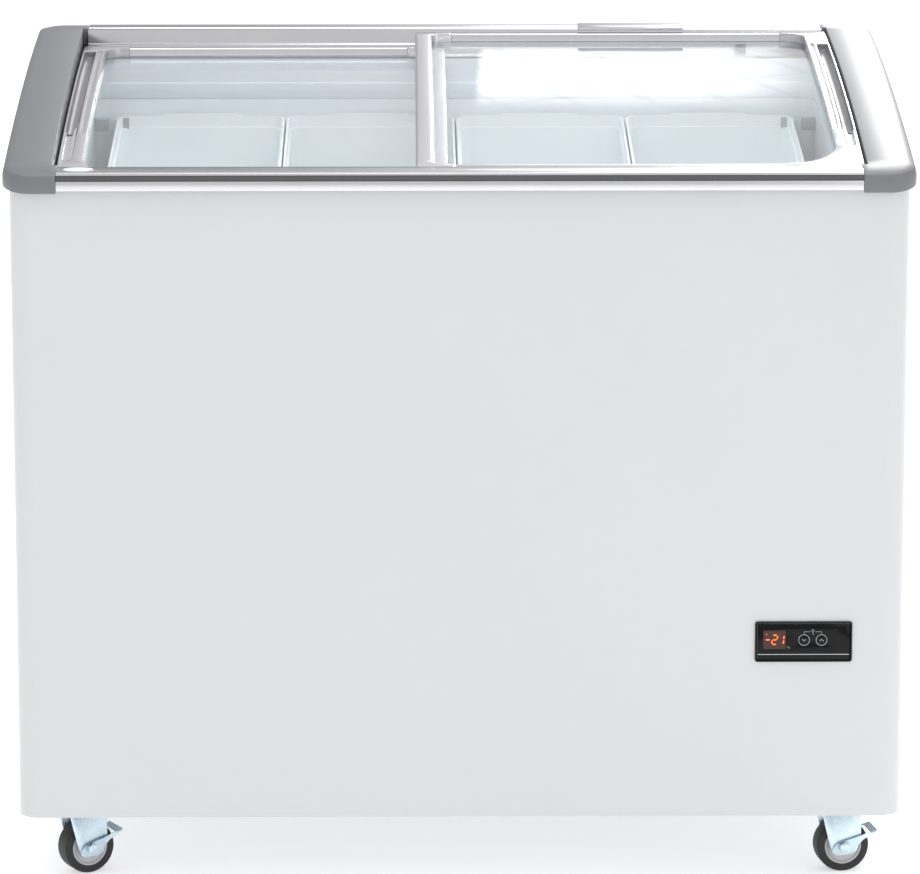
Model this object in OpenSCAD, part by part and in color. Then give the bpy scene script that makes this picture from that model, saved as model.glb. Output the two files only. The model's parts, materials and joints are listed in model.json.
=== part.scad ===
// Chest freezer for a shop floor: a foam-filled steel cabinet on swivel casters, closed by two curved
// glass lids that slide past each other in stepped tracks. The top of the cabinet is one shallow arc
// about an axis along X, low at the front, so everything that follows it is written as a plan outline
// and two heights above or below that arc.
// Origin: floor, centre of the footprint. +X to the right, +Y to the back, +Z up. Millimetres.

/* [Cabinet] */
// Width across the end caps
overall_w = 1000; // [960:5:1040]
// Depth across the end caps
overall_d = 630; // [620:2:640]
// How far the steel cabinet stands back from the end caps' skirts
body_inset = 7.5; // [6:0.5:9]
// Outer radius of the cabinet's upright front corners
corner_r = 25; // [15:1:30]
// Height of the cabinet's bottom edge above the floor
cabinet_z = 85; // [84:1:90]
// Thickness of the outer sheet steel
sheet_t = 1; // [0.8:0.1:1.2]

/* [Curved top] */
// Height of the top surface at its front edge
front_top_z = 812; // [800:1:830]
// Height of the top surface at its rear edge
rear_top_z = 903; // [890:1:915]
// Radius of the curved top
arc_r = 4200; // [3800:50:5000]
// Depth of the outer skirt below the top surface
skirt_h = 21; // [18:1:24]

/* [Lids] */
// Thickness of each lid's frame
lid_t = 13; // [12:0.5:14]
// Glass thickness
glass_t = 4; // [3:0.5:5]
// Width of the front and rear rails
rail_w = 11; // [10:0.5:13]
// Width of the outer stiles, which carry the hand grips
stile_w = 26; // [24:1:28]
// Width of the meeting stiles
meeting_w = 20; // [18:1:22]

/* [Storage] */
// Inside width of the liner
well_w = 860; // [850:2:864]
// Inside depth of the liner
well_d = 494; // [486:2:498]
// Height of the main floor of the liner
well_z = 150; // [145:1:160]
// Height of the raised floor over the machine space
step_z = 430; // [425:1:440]
// Left edge of the raised floor
step_x = 160; // [150:2:170]
// Width of one basket
basket_w = 200; // [190:1:200]
// Depth of one basket below its rear rim
basket_h = 235; // [200:5:240]

/* [Casters] */
// Wheel diameter
wheel_d = 60; // [58:0.5:60]
// Tyre width
tyre_w = 24; // [20:1:24]
// Distance of the swivel axes from the centre, along X
caster_x = 428; // [410:1:430]
// Distance of the swivel axes from the centre, along Y
caster_y = 225; // [210:1:230]
// How far the axle trails its swivel axis
trail = 5; // [4:1:12]

/* [Hidden] */
$fn = 48;

steel_white = "white";
liner_white = "aliceblue";
cap_grey = [0.55, 0.56, 0.57];
silver = "silver";
zinc = [0.72, 0.78, 0.82];
cut = 0.5; // how far a cutter runs past the face it opens
gap = 0.3; // clearance between separate pieces that only meet

body_w = overall_w - 2 * body_inset;
body_d = overall_d - 2 * body_inset;

// ---- The curved top -------------------------------------------------------------------------
// The arc passes through a point at each end of the top surface. Heights are offsets from it,
// measured along its radius: 0 is the caps' top surface and negative is lower.
arc_reach = overall_d / 2 - 10;
arc_rise = rear_top_z - front_top_z;
arc_chord = sqrt(pow(2 * arc_reach, 2) + pow(arc_rise, 2));
arc_drop = sqrt(pow(arc_r, 2) - pow(arc_chord / 2, 2));
arc_y = arc_drop * arc_rise / arc_chord;
arc_z = (front_top_z + rear_top_z) / 2 - arc_drop * 2 * arc_reach / arc_chord;
arc_fn = 1440;

function arc_height(y, off) = arc_z + sqrt(pow(arc_r + off, 2) - pow(y - arc_y, 2));
function on_arc(y, off) = [y, arc_height(y, off)];

upper_top = -3; // the right lid's upper face
upper_low = upper_top - lid_t;
lower_top = upper_low - 2; // the left lid runs just under the right one
lower_low = lower_top - lid_t;
upper_ledge = upper_low - 0.4;
lower_ledge = lower_low - 0.4;
frame_low = lower_ledge - 2;
collar_top = frame_low - 0.6;
collar_step = -61;
collar_low = -79;

// Y limits of the lids: the lower lid is shorter at both ends by the width of the upper track
upper_y0 = -overall_d / 2 + 29.5;
upper_y1 = overall_d / 2 - 39.5;
track_step = 9;
lower_y0 = upper_y0 + track_step;
lower_y1 = upper_y1 - track_step;

// X limits of the lids
cap_inner_x = overall_w / 2 - 54;
tab_inner_x = cap_inner_x - 6;
lid_outer_x = cap_inner_x - 3;
right_inner_x = -48;
left_inner_x = -12;
left_lid_travel = 350;

// One 2D slice of the curved top, in Y and Z, between two offsets
module arc_slice(low, high) {
    intersection() {
        translate([arc_y, arc_z])
            difference() {
                circle(r = arc_r + high, $fn = arc_fn);
                circle(r = arc_r + low, $fn = arc_fn);
            }
        translate([-overall_d, 600])
            square([2 * overall_d, 400]);
    }
}

// A Y-Z profile run along X
module along_x(x0, x1) {
    translate([x0, 0, 0])
        rotate([90, 0, 90])
            linear_extrude(x1 - x0)
                children();
}

// A plan outline between two heights of the arc
module banded(low, high) {
    intersection() {
        translate([0, 0, 620])
            linear_extrude(350)
                children();
        along_x(-overall_w, overall_w)
            arc_slice(low, high);
    }
}

// Everything from height z up to the arc
module below_arc(z, off) {
    along_x(-overall_w, overall_w)
        intersection() {
            translate([arc_y, arc_z])
                circle(r = arc_r + off, $fn = arc_fn);
            translate([-overall_d, z])
                square([2 * overall_d, 1000]);
        }
}

// ---- Plan outlines --------------------------------------------------------------------------
module rect(x0, x1, y0, y1) {
    translate([x0, y0])
        square([x1 - x0, y1 - y0]);
}

// The sliver outside a quarter circle, with its corner at the origin
module corner_sliver(r) {
    difference() {
        translate([-cut, -cut])
            square(r + cut);
        translate([r, r])
            circle(r);
    }
}

// A rectangle whose corners have their own radii: left front, right front, right rear, left rear
module soft_rect(x0, x1, y0, y1, radii) {
    corners = [[x0, y0, 1, 1], [x1, y0, -1, 1], [x1, y1, -1, -1], [x0, y1, 1, -1]];
    difference() {
        rect(x0, x1, y0, y1);
        for (i = [0:3])
            if (radii[i] > 0)
                translate([corners[i][0], corners[i][1]])
                    mirror([corners[i][2] < 0 ? 1 : 0, 0])
                        mirror([0, corners[i][3] < 0 ? 1 : 0])
                            corner_sliver(radii[i]);
    }
}

module cabinet_plan(inset, rear_r = 0) {
    r = corner_r - inset;
    soft_rect(-body_w / 2 + inset, body_w / 2 - inset, -body_d / 2 + inset, body_d / 2 - inset,
              [r, r, rear_r, rear_r]);
}

module liner_plan(grow) {
    r = well_corner_r + grow;
    soft_rect(-well_w / 2 - grow, well_w / 2 + grow, -well_d / 2 - grow, well_d / 2 + grow, [r, r, r, r]);
}

module slab(z0, z1) {
    translate([0, 0, z0])
        linear_extrude(z1 - z0)
            children();
}

module box(x0, x1, y0, y1, z0, z1) {
    translate([x0, y0, z0])
        cube([x1 - x0, y1 - y0, z1 - z0]);
}

module mirrored_x() {
    mirror([1, 0, 0])
        children();
}

module rod_x(x0, x1, y, z, r) {
    translate([x0, y, z])
        rotate([0, 90, 0])
            cylinder(h = x1 - x0, r = r);
}

module rod_y(x, y0, y1, z, r) {
    translate([x, y0, z])
        rotate([-90, 0, 0])
            cylinder(h = y1 - y0, r = r);
}

module rod_z(x, y, z0, z1, r) {
    translate([x, y, z0])
        cylinder(h = z1 - z0, r = r);
}

// ---- Machine space, at the lower right ------------------------------------------------------
pan_z = cabinet_z + 3;
pan_t = 1.5;
pan_top = pan_z + pan_t;
machine_x0 = step_x + 52;
machine_x1 = body_w / 2 - sheet_t - gap;
machine_top = step_z - 55;
well_corner_r = 20;
liner_t = 1.5;

// Side air grille
side_y0 = -240;
side_y1 = -20;
side_z0 = 115;
side_z1 = 305;
// Rear cover of the machine space
rear_x0 = machine_x0 + 14;
rear_x1 = body_w / 2 - 16;
rear_z0 = 104;
rear_z1 = machine_top - 12;

// Control panel on the front
panel_x = 381;
panel_z = 285;
panel_w = 108;
panel_h = 46;
key_r = 6;
key_x = [panel_x + 0.5, panel_x + 20];
key_z = panel_z + 2;
key_y = -body_d / 2 - 2;

drain_x = -200;
drain_y = -150;
drain_bore_r = 7;
drain_r = 9;

rear_screw_x = [-470, -160, 150, 470];
rear_screw_z = [96, 780];
rear_grille_screws = [[rear_x0 - 7, 130], [rear_x0 - 7, 340], [rear_x1 + 7, 130], [rear_x1 + 7, 340]];

// ---- Cabinet --------------------------------------------------------------------------------
module outer_wrapper() {
    color(steel_white)
        difference() {
            intersection() {
                union() {
                    slab(cabinet_z, 950)
                        difference() {
                            cabinet_plan(0);
                            cabinet_plan(sheet_t);
                            rect(-body_w / 2 + sheet_t, body_w / 2 - sheet_t, 0, body_d / 2 + cut);
                        }
                    slab(cabinet_z, cabinet_z + sheet_t)
                        difference() {
                            cabinet_plan(0);
                            cabinet_plan(14);
                            rect(-body_w / 2 + 14, body_w / 2 - 14, 0, body_d / 2 + cut);
                        }
                    for (side = [-1, 1])
                        translate([side * (body_w / 2 - 7.5), body_d / 2 - 2.5, (pan_top + 0.5 + 870) / 2])
                            cube([15, 1, 870 - pan_top - 0.5], center = true);
                }
                below_arc(0, -9);
            }
            // Opening behind the control panel
            box(panel_x - panel_w / 2 + 5, panel_x + panel_w / 2 - 5, -body_d, -body_d / 2 + 5,
                panel_z - panel_h / 2 + 5, panel_z + panel_h / 2 - 5);
            // Opening behind the side grille
            box(body_w / 2 - 5, body_w, side_y0 + 8, side_y1 - 8, side_z0 + 8, side_z1 - 8);
            for (i = [2, 3])
                rod_y(rear_grille_screws[i][0], body_d / 2 - 10, body_d / 2 + 5, rear_grille_screws[i][1], 2.2);
        }
}

module rear_panel() {
    edge = body_w / 2 - sheet_t - gap;
    color(steel_white)
        difference() {
            intersection() {
                box(-edge, edge, body_d / 2 - sheet_t, body_d / 2, cabinet_z + sheet_t + 0.1, 950);
                below_arc(0, -9);
            }
            box(rear_x0 + 6, rear_x1 - 6, 0, body_d, rear_z0 + 6, rear_z1 - 6);
            for (x = rear_screw_x, z = rear_screw_z)
                rod_y(x, body_d / 2 - 10, body_d / 2 + 5, z, 2.2);
            for (p = rear_grille_screws)
                rod_y(p[0], body_d / 2 - 10, body_d / 2 + 5, p[1], 2.2);
        }
}

caster_bolt = 22;
caster_spots = [[-caster_x, -caster_y], [caster_x, -caster_y], [-caster_x, caster_y], [caster_x, caster_y]];
bolt_spots = [for (c = caster_spots, i = [-1, 1], j = [-1, 1]) [c[0] + i * caster_bolt, c[1] + j * caster_bolt]];

module base_pan() {
    color("lightgray")
        difference() {
            union() {
                slab(pan_z, pan_top)
                    cabinet_plan(2);
                for (y = [-0.5, 0.5])
                    box(-body_w / 2 + 30, body_w / 2 - 30, y * (body_d - 30) - 1, y * (body_d - 30) + 1,
                        pan_top - cut, pan_top + 12);
            }
            for (p = bolt_spots)
                rod_z(p[0], p[1], pan_z - 1, pan_top + 1, 3.3);
            rod_z(drain_x, drain_y, pan_z - 1, pan_top + 1, drain_r + gap);
            for (i = [0:7])
                box(machine_x0 + 40 + i * 16, machine_x0 + 46 + i * 16, -290, -250, pan_z - 1, pan_top + 1);
        }
}

evap_r = 4;
evap_low = [200, 255, 310, 365];
evap_high = [480, 535, 590, 645];

// One turn of tube around a rectangle of straight runs joined by quarter bends
module tube_turn(x0, x1, y0, y1, bend, r, z) {
    for (y = [y0, y1])
        rod_x(x0 + bend, x1 - bend, y, z, r);
    for (x = [x0, x1])
        rod_y(x, y0 + bend, y1 - bend, z, r);
    ends = [[x1 - bend, y1 - bend, 0], [x0 + bend, y1 - bend, 90], [x0 + bend, y0 + bend, 180],
            [x1 - bend, y0 + bend, 270]];
    for (e = ends)
        translate([e[0], e[1], z])
            rotate([0, 0, e[2]])
                rotate_extrude(angle = 90)
                    translate([bend, 0])
                        circle(r);
}

module evaporator_turns(r) {
    off = liner_t + evap_r + 0.4;
    y = well_d / 2 + off;
    x0 = -well_w / 2 - off;
    bend = well_corner_r + off;
    for (z = evap_low)
        tube_turn(x0, step_x + off, -y, y, bend, r, z);
    for (z = evap_high)
        tube_turn(x0, -x0, -y, y, bend, r, z);
    rod_z(-120, y, evap_low[0], evap_high[3], r);
}

module evaporator_tube() {
    color("peru")
        evaporator_turns(evap_r);
}

// The deep part of the well stops short of the machine space
module low_plan(grow) {
    r = well_corner_r + grow;
    soft_rect(-well_w / 2 - grow, step_x + grow, -well_d / 2 - grow, well_d / 2 + grow, [r, r, r, r]);
}

module insulation_foam() {
    color("khaki")
        difference() {
            intersection() {
                slab(pan_top + 13, 950)
                    cabinet_plan(sheet_t + gap);
                below_arc(0, collar_low - 1);
                box(-body_w, body_w, -body_d, body_d / 2 - 3.3, 0, 1000);
            }
            slab(step_z - liner_t - gap, 1000)
                liner_plan(liner_t + gap);
            slab(well_z - liner_t - gap, step_z)
                low_plan(liner_t + gap);
            box(machine_x0, overall_w, -overall_d, overall_d, 0, machine_top);
            evaporator_turns(evap_r + gap);
            rod_z(drain_x, drain_y, 0, well_z + 5, drain_r + gap);
            for (x = rear_screw_x, z = rear_screw_z)
                rod_y(x, body_d / 2 - 10, body_d / 2 + 5, z, 2.4);
        }
}

ledge_w = 9;
rim_front_z = 735;
rim_rear_z = 800;
rim_y = 236;

module inner_liner() {
    color(liner_white)
        difference() {
            union() {
                difference() {
                    intersection() {
                        union() {
                            slab(step_z - liner_t, 1000)
                                liner_plan(liner_t);
                            slab(well_z - liner_t, step_z)
                                low_plan(liner_t);
                        }
                        below_arc(0, collar_low - gap);
                    }
                    slab(step_z, 1001)
                        liner_plan(0);
                    slab(well_z, step_z + 1)
                        low_plan(0);
                }
                // Ledges that carry the baskets, front and rear
                box(-407, 407, -well_d / 2 - cut, -well_d / 2 + ledge_w, rim_front_z - 14, rim_front_z - 6);
                box(-407, 407, well_d / 2 - ledge_w, well_d / 2 + cut, rim_rear_z - 14, rim_rear_z - 6);
            }
            rod_z(drain_x, drain_y, well_z - 5, well_z + 5, drain_bore_r);
        }
}

// Plastic ring that closes the insulation between the liner and the frame
module liner_collar() {
    color(liner_white)
        difference() {
            banded(collar_low, collar_top)
                soft_rect(-well_w / 2 - 16, well_w / 2 + 16, -well_d / 2 - 16, well_d / 2 + 16, [20, 20, 20, 20]);
            slab(500, 1000)
                liner_plan(1);
            banded(collar_step, 5)
                liner_plan(7);
        }
}

// ---- Top frame ------------------------------------------------------------------------------
cap_wall = 3.5;
cap_skirt = body_inset - 0.7;
tab_y = overall_d / 2 - 29;

module cap_plan() {
    r = corner_r + body_inset;
    soft_rect(-overall_w / 2, -cap_inner_x, -overall_d / 2, overall_d / 2, [r, 0, 0, r]);
    rect(-cap_inner_x - 1, -tab_inner_x, -overall_d / 2, -tab_y);
    rect(-cap_inner_x - 1, -tab_inner_x, tab_y, overall_d / 2);
}

// The end cap is a moulded shell: top, outer skirt all round, and an inner wall that closes the tracks
module end_cap() {
    inner = corner_r + 0.7;
    color(cap_grey)
        difference() {
            union() {
                banded(-skirt_h, 0)
                    cap_plan();
                banded(frame_low, 0)
                    rect(-cap_inner_x - cap_wall, -cap_inner_x, -tab_y + 1, tab_y - 1);
            }
            banded(-60, -cap_wall)
                soft_rect(-overall_w / 2 + cap_skirt, -cap_inner_x - cap_wall, -overall_d / 2 + cap_skirt,
                          overall_d / 2 - cap_skirt, [inner, 0, 0, inner]);
            // Room for the top edge of the wrapper and of the rear panel
            banded(-60, -8.7)
                difference() {
                    cabinet_plan(-gap);
                    cabinet_plan(sheet_t + gap);
                }
        }
}

module left_end_cap() {
    end_cap();
}

module right_end_cap() {
    mirrored_x()
        end_cap();
}

strip_z0 = 801;
strip_z1 = 808;
rail_end_x = tab_inner_x - 0.2;
front_y = -overall_d / 2;

module front_rail() {
    slot = body_inset;
    color(silver)
        along_x(-rail_end_x, rail_end_x)
            difference() {
                polygon([
                    [front_y, 791], [front_y, strip_z0], [front_y + 1.2, strip_z0], [front_y + 1.2, strip_z1],
                    [front_y + 2.5, strip_z1 + 0.8], on_arc(upper_y0 - 0.5, -1.5), on_arc(upper_y0 - 0.5, upper_ledge),
                    on_arc(lower_y0 - 0.5, upper_ledge), on_arc(lower_y0 - 0.5, lower_ledge),
                    on_arc(lower_y0 + 10.5, lower_ledge), on_arc(lower_y0 + 10.5, frame_low),
                    on_arc(front_y + slot + 2, frame_low), [front_y + slot + 2, strip_z0 + 3.5],
                    [front_y + slot - 0.8, strip_z0 + 3.5], [front_y + slot - 0.8, 791]
                ]);
                polygon([
                    on_arc(front_y + slot + 5, -9), on_arc(upper_y0 - 3.5, -4.5),
                    on_arc(upper_y0 - 3.5, frame_low + 3), on_arc(front_y + slot + 5, frame_low + 3)
                ]);
            }
}

module front_rail_strip() {
    color([0.36, 0.36, 0.37])
        box(-rail_end_x, rail_end_x, front_y + 0.4, front_y + 1.2, strip_z0 + 0.1, strip_z1 - 0.1);
}

module rear_rail() {
    back_y = overall_d / 2;
    slot = body_inset;
    color(silver)
        along_x(-rail_end_x, rail_end_x)
            difference() {
                polygon([
                    on_arc(back_y, -skirt_h), on_arc(back_y, -3), on_arc(back_y - 3, 0), on_arc(upper_y1 + 0.5, 0),
                    on_arc(upper_y1 + 0.5, upper_ledge), on_arc(lower_y1 + 0.5, upper_ledge),
                    on_arc(lower_y1 + 0.5, lower_ledge), on_arc(lower_y1 - 10.5, lower_ledge),
                    on_arc(lower_y1 - 10.5, frame_low), on_arc(back_y - slot - 2, frame_low),
                    on_arc(back_y - slot - 2, -7), on_arc(back_y - slot + 0.8, -7),
                    on_arc(back_y - slot + 0.8, -skirt_h)
                ]);
                polygon([
                    on_arc(upper_y1 + 4, -3), on_arc(back_y - slot - 6, -3), on_arc(back_y - slot - 6, frame_low + 3),
                    on_arc(upper_y1 + 4, frame_low + 3)
                ]);
            }
}

// A flat cover on the rear rail that keeps the right lid down in its track
keeper_x0 = 148;
keeper_x1 = 274;

module lid_keeper() {
    color(silver)
        banded(0, 3)
            rect(keeper_x0, keeper_x1, upper_y1 - 4, overall_d / 2 - 14);
}

// Rubber blocks in the lower track that end the left lid's travel
module lid_stops() {
    x0 = left_inner_x + left_lid_travel + 0.5;
    color([0.1, 0.1, 0.1])
        for (y0 = [lower_y0, lower_y1 - 8])
            banded(lower_ledge + 0.1, lower_top - 1)
                rect(x0, x0 + 10, y0, y0 + 8);
}

// ---- Lids -----------------------------------------------------------------------------------
glass_tuck = 6; // how far the glass runs into the frame
front_sweep_r = 58; // the aperture's outer front corner
rear_sweep_r = 22;
meeting_corner_r = 9;
front_seam = 60; // length of the corner mouldings past the aperture's edge
rear_seam = 28;
meeting_seam = 24;

// The opening of the right lid, x1 being its outer edge; the left lid mirrors it
module aperture(x0, x1, y0, y1) {
    soft_rect(x0, x1, y0, y1, [meeting_corner_r, front_sweep_r, rear_sweep_r, meeting_corner_r]);
}

// Each lid is described with its outer end to the right: x0 meeting edge, x1 outer edge, meet the
// meeting stile's width, and y0 and y1 its front and rear edges
module lid_ring(x0, x1, y0, y1, meet, low, high) {
    difference() {
        banded(low, high)
            difference() {
                rect(x0, x1, y0, y1);
                aperture(x0 + meet, x1 - stile_w, y0 + rail_w, y1 - rail_w);
            }
        banded(low - 1, low + glass_t)
            rect(x0 + meet - glass_tuck, x1 - stile_w + glass_tuck, y0 + rail_w - glass_tuck, y1 - rail_w + glass_tuck);
    }
}

module lid_glass(x0, x1, y0, y1, meet, low) {
    color([0.8, 0.9, 0.92, 0.4])
        banded(low, low + glass_t - 0.1)
            rect(x0 + meet - glass_tuck + 0.3, x1 - stile_w + glass_tuck - 0.3, y0 + rail_w - glass_tuck + 0.3,
                 y1 - rail_w + glass_tuck - 0.3);
}

module outer_part(x1, y0, y1, grow) {
    middle = (y0 + y1) / 2;
    slab(600, 1000)
        union() {
            rect(x1 - stile_w - front_seam - grow, x1 + 1, y0 - 1, middle);
            rect(x1 - stile_w - rear_seam - grow, x1 + 1, middle, y1 + 1);
        }
}

module meeting_part(x0, meet, grow) {
    slab(600, 1000)
        rect(x0 - 1, x0 + meet + meeting_seam + grow, -overall_d, overall_d);
}

module lid_rails(x0, x1, y0, y1, meet, low, high) {
    color([0.9, 0.92, 0.93])
        difference() {
            lid_ring(x0, x1, y0, y1, meet, low, high);
            outer_part(x1, y0, y1, 0.1);
            meeting_part(x0, meet, 0.1);
        }
}

// The hand grip is a long narrow groove that widens into a wedge towards the front
module handle_stile(x0, x1, y0, y1, meet, low, high) {
    groove_x = x1 - 10;
    color([0.62, 0.63, 0.64])
        difference() {
            intersection() {
                lid_ring(x0, x1, y0, y1, meet, low, high);
                outer_part(x1, y0, y1, 0);
            }
            banded(high - 8, high + 5)
                polygon([
                    [groove_x, y1 - 40], [groove_x + 6, y1 - 40], [groove_x + 6, y0 + 62], [groove_x - 1, y0 + 50],
                    [groove_x - 9, y0 + 62], [groove_x - 5, y0 + 110], [groove_x, y0 + 150]
                ]);
        }
}

module meeting_stile(x0, x1, y0, y1, meet, low, high) {
    color([0.8, 0.81, 0.83])
        intersection() {
            lid_ring(x0, x1, y0, y1, meet, low, high);
            meeting_part(x0, meet, 0);
        }
}

left_x0 = -left_inner_x; // the left lid is the mirror image of one from here to lid_outer_x
left_meet = meeting_w + 1;

module left_lid_glass() {
    mirrored_x()
        lid_glass(left_x0, lid_outer_x, lower_y0, lower_y1, left_meet, lower_low);
}

module left_lid_rails() {
    mirrored_x()
        lid_rails(left_x0, lid_outer_x, lower_y0, lower_y1, left_meet, lower_low, lower_top);
}

module left_lid_handle_stile() {
    mirrored_x()
        handle_stile(left_x0, lid_outer_x, lower_y0, lower_y1, left_meet, lower_low, lower_top);
}

module left_lid_meeting_stile() {
    mirrored_x()
        meeting_stile(left_x0, lid_outer_x, lower_y0, lower_y1, left_meet, lower_low, lower_top);
}

module right_lid_glass() {
    lid_glass(right_inner_x, lid_outer_x, upper_y0, upper_y1, meeting_w, upper_low);
}

module right_lid_rails() {
    lid_rails(right_inner_x, lid_outer_x, upper_y0, upper_y1, meeting_w, upper_low, upper_top);
}

module right_lid_handle_stile() {
    handle_stile(right_inner_x, lid_outer_x, upper_y0, upper_y1, meeting_w, upper_low, upper_top);
}

module right_lid_meeting_stile() {
    meeting_stile(right_inner_x, lid_outer_x, upper_y0, upper_y1, meeting_w, upper_low, upper_top);
}

// ---- Baskets --------------------------------------------------------------------------------
basket_pitch = 202;
basket_t = 2;
basket_x = [for (i = [-1.5, -0.5, 0.5, 1.5]) i * basket_pitch];

// Y-Z outline of a basket between inset walls: level floor and a rim that rises to the rear
module basket_side(inset, top) {
    slope = (rim_rear_z - rim_front_z) / (2 * rim_y);
    y = rim_y - inset;
    middle = (rim_rear_z + rim_front_z) / 2;
    polygon([
        [-y + 10, rim_rear_z - basket_h + inset], [y - 10, rim_rear_z - basket_h + inset],
        [y, middle + slope * y + top], [-y, middle - slope * y + top]
    ]);
}

module basket(x) {
    color("azure")
        translate([x, 0, 0])
            difference() {
                union() {
                    along_x(-basket_w / 2, basket_w / 2)
                        basket_side(0, 0);
                    box(-basket_w / 2, basket_w / 2, rim_y - 3, rim_y + 8, rim_rear_z - 5.7, rim_rear_z - 3);
                    box(-basket_w / 2, basket_w / 2, -rim_y - 8, -rim_y + 3, rim_front_z - 5.7, rim_front_z - 3);
                }
                along_x(-basket_w / 2 + basket_t, basket_w / 2 - basket_t)
                    basket_side(basket_t, 10);
                // Dip in the rear rim to lift the basket by
                box(-41, 41, rim_y - 10, rim_y + 2, rim_rear_z - 9, rim_rear_z + 5);
            }
}

module basket_1() {
    basket(basket_x[0]);
}

module basket_2() {
    basket(basket_x[1]);
}

module basket_3() {
    basket(basket_x[2]);
}

module basket_4() {
    basket(basket_x[3]);
}

// Grey blocks on the liner's ends that keep the row of baskets from shifting
module basket_supports() {
    x1 = well_w / 2 - 0.1;
    color([0.55, 0.6, 0.63])
        for (side = [0, 1], z = [rim_front_z - 18, rim_rear_z - 16])
            mirror([side, 0, 0])
                box(x1 - 17, x1, z < 750 ? -228 : 216, z < 750 ? -216 : 228, z, z + 15);
}

// ---- Refrigeration --------------------------------------------------------------------------
comp_x = 323;
comp_y = 150;
comp_z = pan_top + 22;
comp_r = 68;

module compressor() {
    color([0.12, 0.12, 0.13])
        union() {
            rod_z(comp_x, comp_y, comp_z + 22, comp_z + 130, comp_r);
            translate([comp_x, comp_y, comp_z + 22])
                intersection() {
                    sphere(comp_r);
                    rod_z(0, 0, -20, 1, comp_r + 5);
                }
            translate([comp_x, comp_y, comp_z + 130])
                intersection() {
                    sphere(comp_r);
                    rod_z(0, 0, -1, 42, comp_r + 5);
                }
            difference() {
                box(comp_x - 80, comp_x + 80, comp_y - 55, comp_y + 55, comp_z, comp_z + 4);
                for (i = [-1, 1], j = [-1, 1])
                    rod_z(comp_x + i * 68, comp_y + j * 43, comp_z - 1, comp_z + 6, 6);
            }
            // Terminal cover and relay
            box(comp_x - 28, comp_x + 28, comp_y - comp_r - 26, comp_y - comp_r + 12, comp_z + 30, comp_z + 96);
        }
}

module compressor_feet() {
    color([0.15, 0.15, 0.15])
        for (i = [-1, 1], j = [-1, 1])
            translate([comp_x + i * 68, comp_y + j * 43, 0]) {
                rod_z(0, 0, pan_top, comp_z, 11);
                rod_z(0, 0, comp_z - 1, comp_z + 4, 5.8);
                rod_z(0, 0, comp_z + 4, comp_z + 8, 10);
            }
}

cond_x0 = 432;
cond_x1 = 468;
fan_y = (side_y0 + side_y1) / 2;
fan_z = (side_z0 + side_z1) / 2;
fan_r = 82;

module condenser() {
    color("silver")
        union() {
            for (i = [0:15])
                box(cond_x0, cond_x1, side_y0 + 8 + i * 13.2, side_y0 + 9.2 + i * 13.2, side_z0 - 10, side_z1 + 10);
            for (x = [cond_x0 + 10, cond_x1 - 10], k = [0:4])
                rod_y(x, side_y0 + 2, side_y1 - 2, side_z0 + 8 + k * 43, 4);
            for (y = [side_y0 + 2, side_y1 - 4])
                box(cond_x0 - 2, cond_x1 + 2, y, y + 2, pan_top, side_z1 + 14);
        }
}

module fan_shroud() {
    color([0.16, 0.16, 0.17])
        difference() {
            union() {
                box(cond_x0 - 14, cond_x0 - 11, side_y0 + 2, side_y1 - 2, pan_top, side_z1 + 14);
                rod_x(cond_x0 - 36, cond_x0 - 11, fan_y, fan_z, fan_r + 6);
            }
            rod_x(cond_x0 - 40, cond_x0 + 5, fan_y, fan_z, fan_r + 3);
        }
}

motor_x0 = cond_x0 - 82;
motor_x1 = cond_x0 - 42;
shaft_r = 3;

module fan_motor() {
    color([0.35, 0.36, 0.38])
        union() {
            rod_x(motor_x0, motor_x1, fan_y, fan_z, 30);
            rod_x(motor_x1 - 1, motor_x1 + 26, fan_y, fan_z, shaft_r);
            // Stand on the base pan
            box(motor_x0 + 10, motor_x1 - 10, fan_y - 18, fan_y + 18, pan_top, fan_z);
            box(motor_x0, motor_x1, fan_y - 30, fan_y + 30, pan_top, pan_top + 3);
        }
}

module fan_blade() {
    x0 = motor_x1 + 4;
    color("white")
        difference() {
            union() {
                rod_x(x0, x0 + 18, fan_y, fan_z, 16);
                intersection() {
                    translate([x0 + 9, fan_y, fan_z])
                        for (i = [0:4])
                            rotate([i * 72, 0, 0])
                                rotate([0, 0, 24])
                                    translate([-1, -24, 13])
                                        cube([2, 48, fan_r]);
                    rod_x(x0, x0 + 18, fan_y, fan_z, fan_r - 2);
                }
            }
            rod_x(x0 - 1, x0 + 19, fan_y, fan_z, shaft_r + 0.05);
        }
}

pipe_r = 3.2;

module bend_z(x, y, z, bend, start) {
    translate([x, y, z])
        rotate([0, 0, start])
            rotate_extrude(angle = 90)
                translate([bend, 0])
                    circle(pipe_r);
}

// Suction, discharge and liquid lines, with the filter drier in the liquid line
module refrigerant_pipes() {
    pipe_z = comp_z + 100;
    drier_y = comp_y + 105;
    color("peru")
        union() {
            rod_x(machine_x0 + 3, comp_x - comp_r - 1, comp_y + 20, pipe_z, pipe_r);
            rod_x(comp_x + comp_r + 1, cond_x0 - 8, comp_y - 10, pipe_z, pipe_r);
            bend_z(cond_x0 - 8, comp_y - 22, pipe_z, 12, 0);
            rod_y(cond_x0 + 4, side_y1 + 1, comp_y - 22, pipe_z, pipe_r);
            rod_y(cond_x1 - 6, side_y1 + 1, drier_y - 12, pipe_z - 40, pipe_r);
            bend_z(cond_x1 - 18, drier_y - 12, pipe_z - 40, 12, 0);
            rod_x(comp_x + 40, cond_x1 - 18, drier_y, pipe_z - 40, pipe_r);
            rod_x(comp_x - 40, comp_x + 40, drier_y, pipe_z - 40, 11);
            rod_x(machine_x0 + 3, comp_x - 40, drier_y, pipe_z - 40, pipe_r);
        }
}

// ---- Control panel --------------------------------------------------------------------------
bezel_face_y = -body_d / 2 - 2.4;
lens_face_y = bezel_face_y + 0.5;

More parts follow.
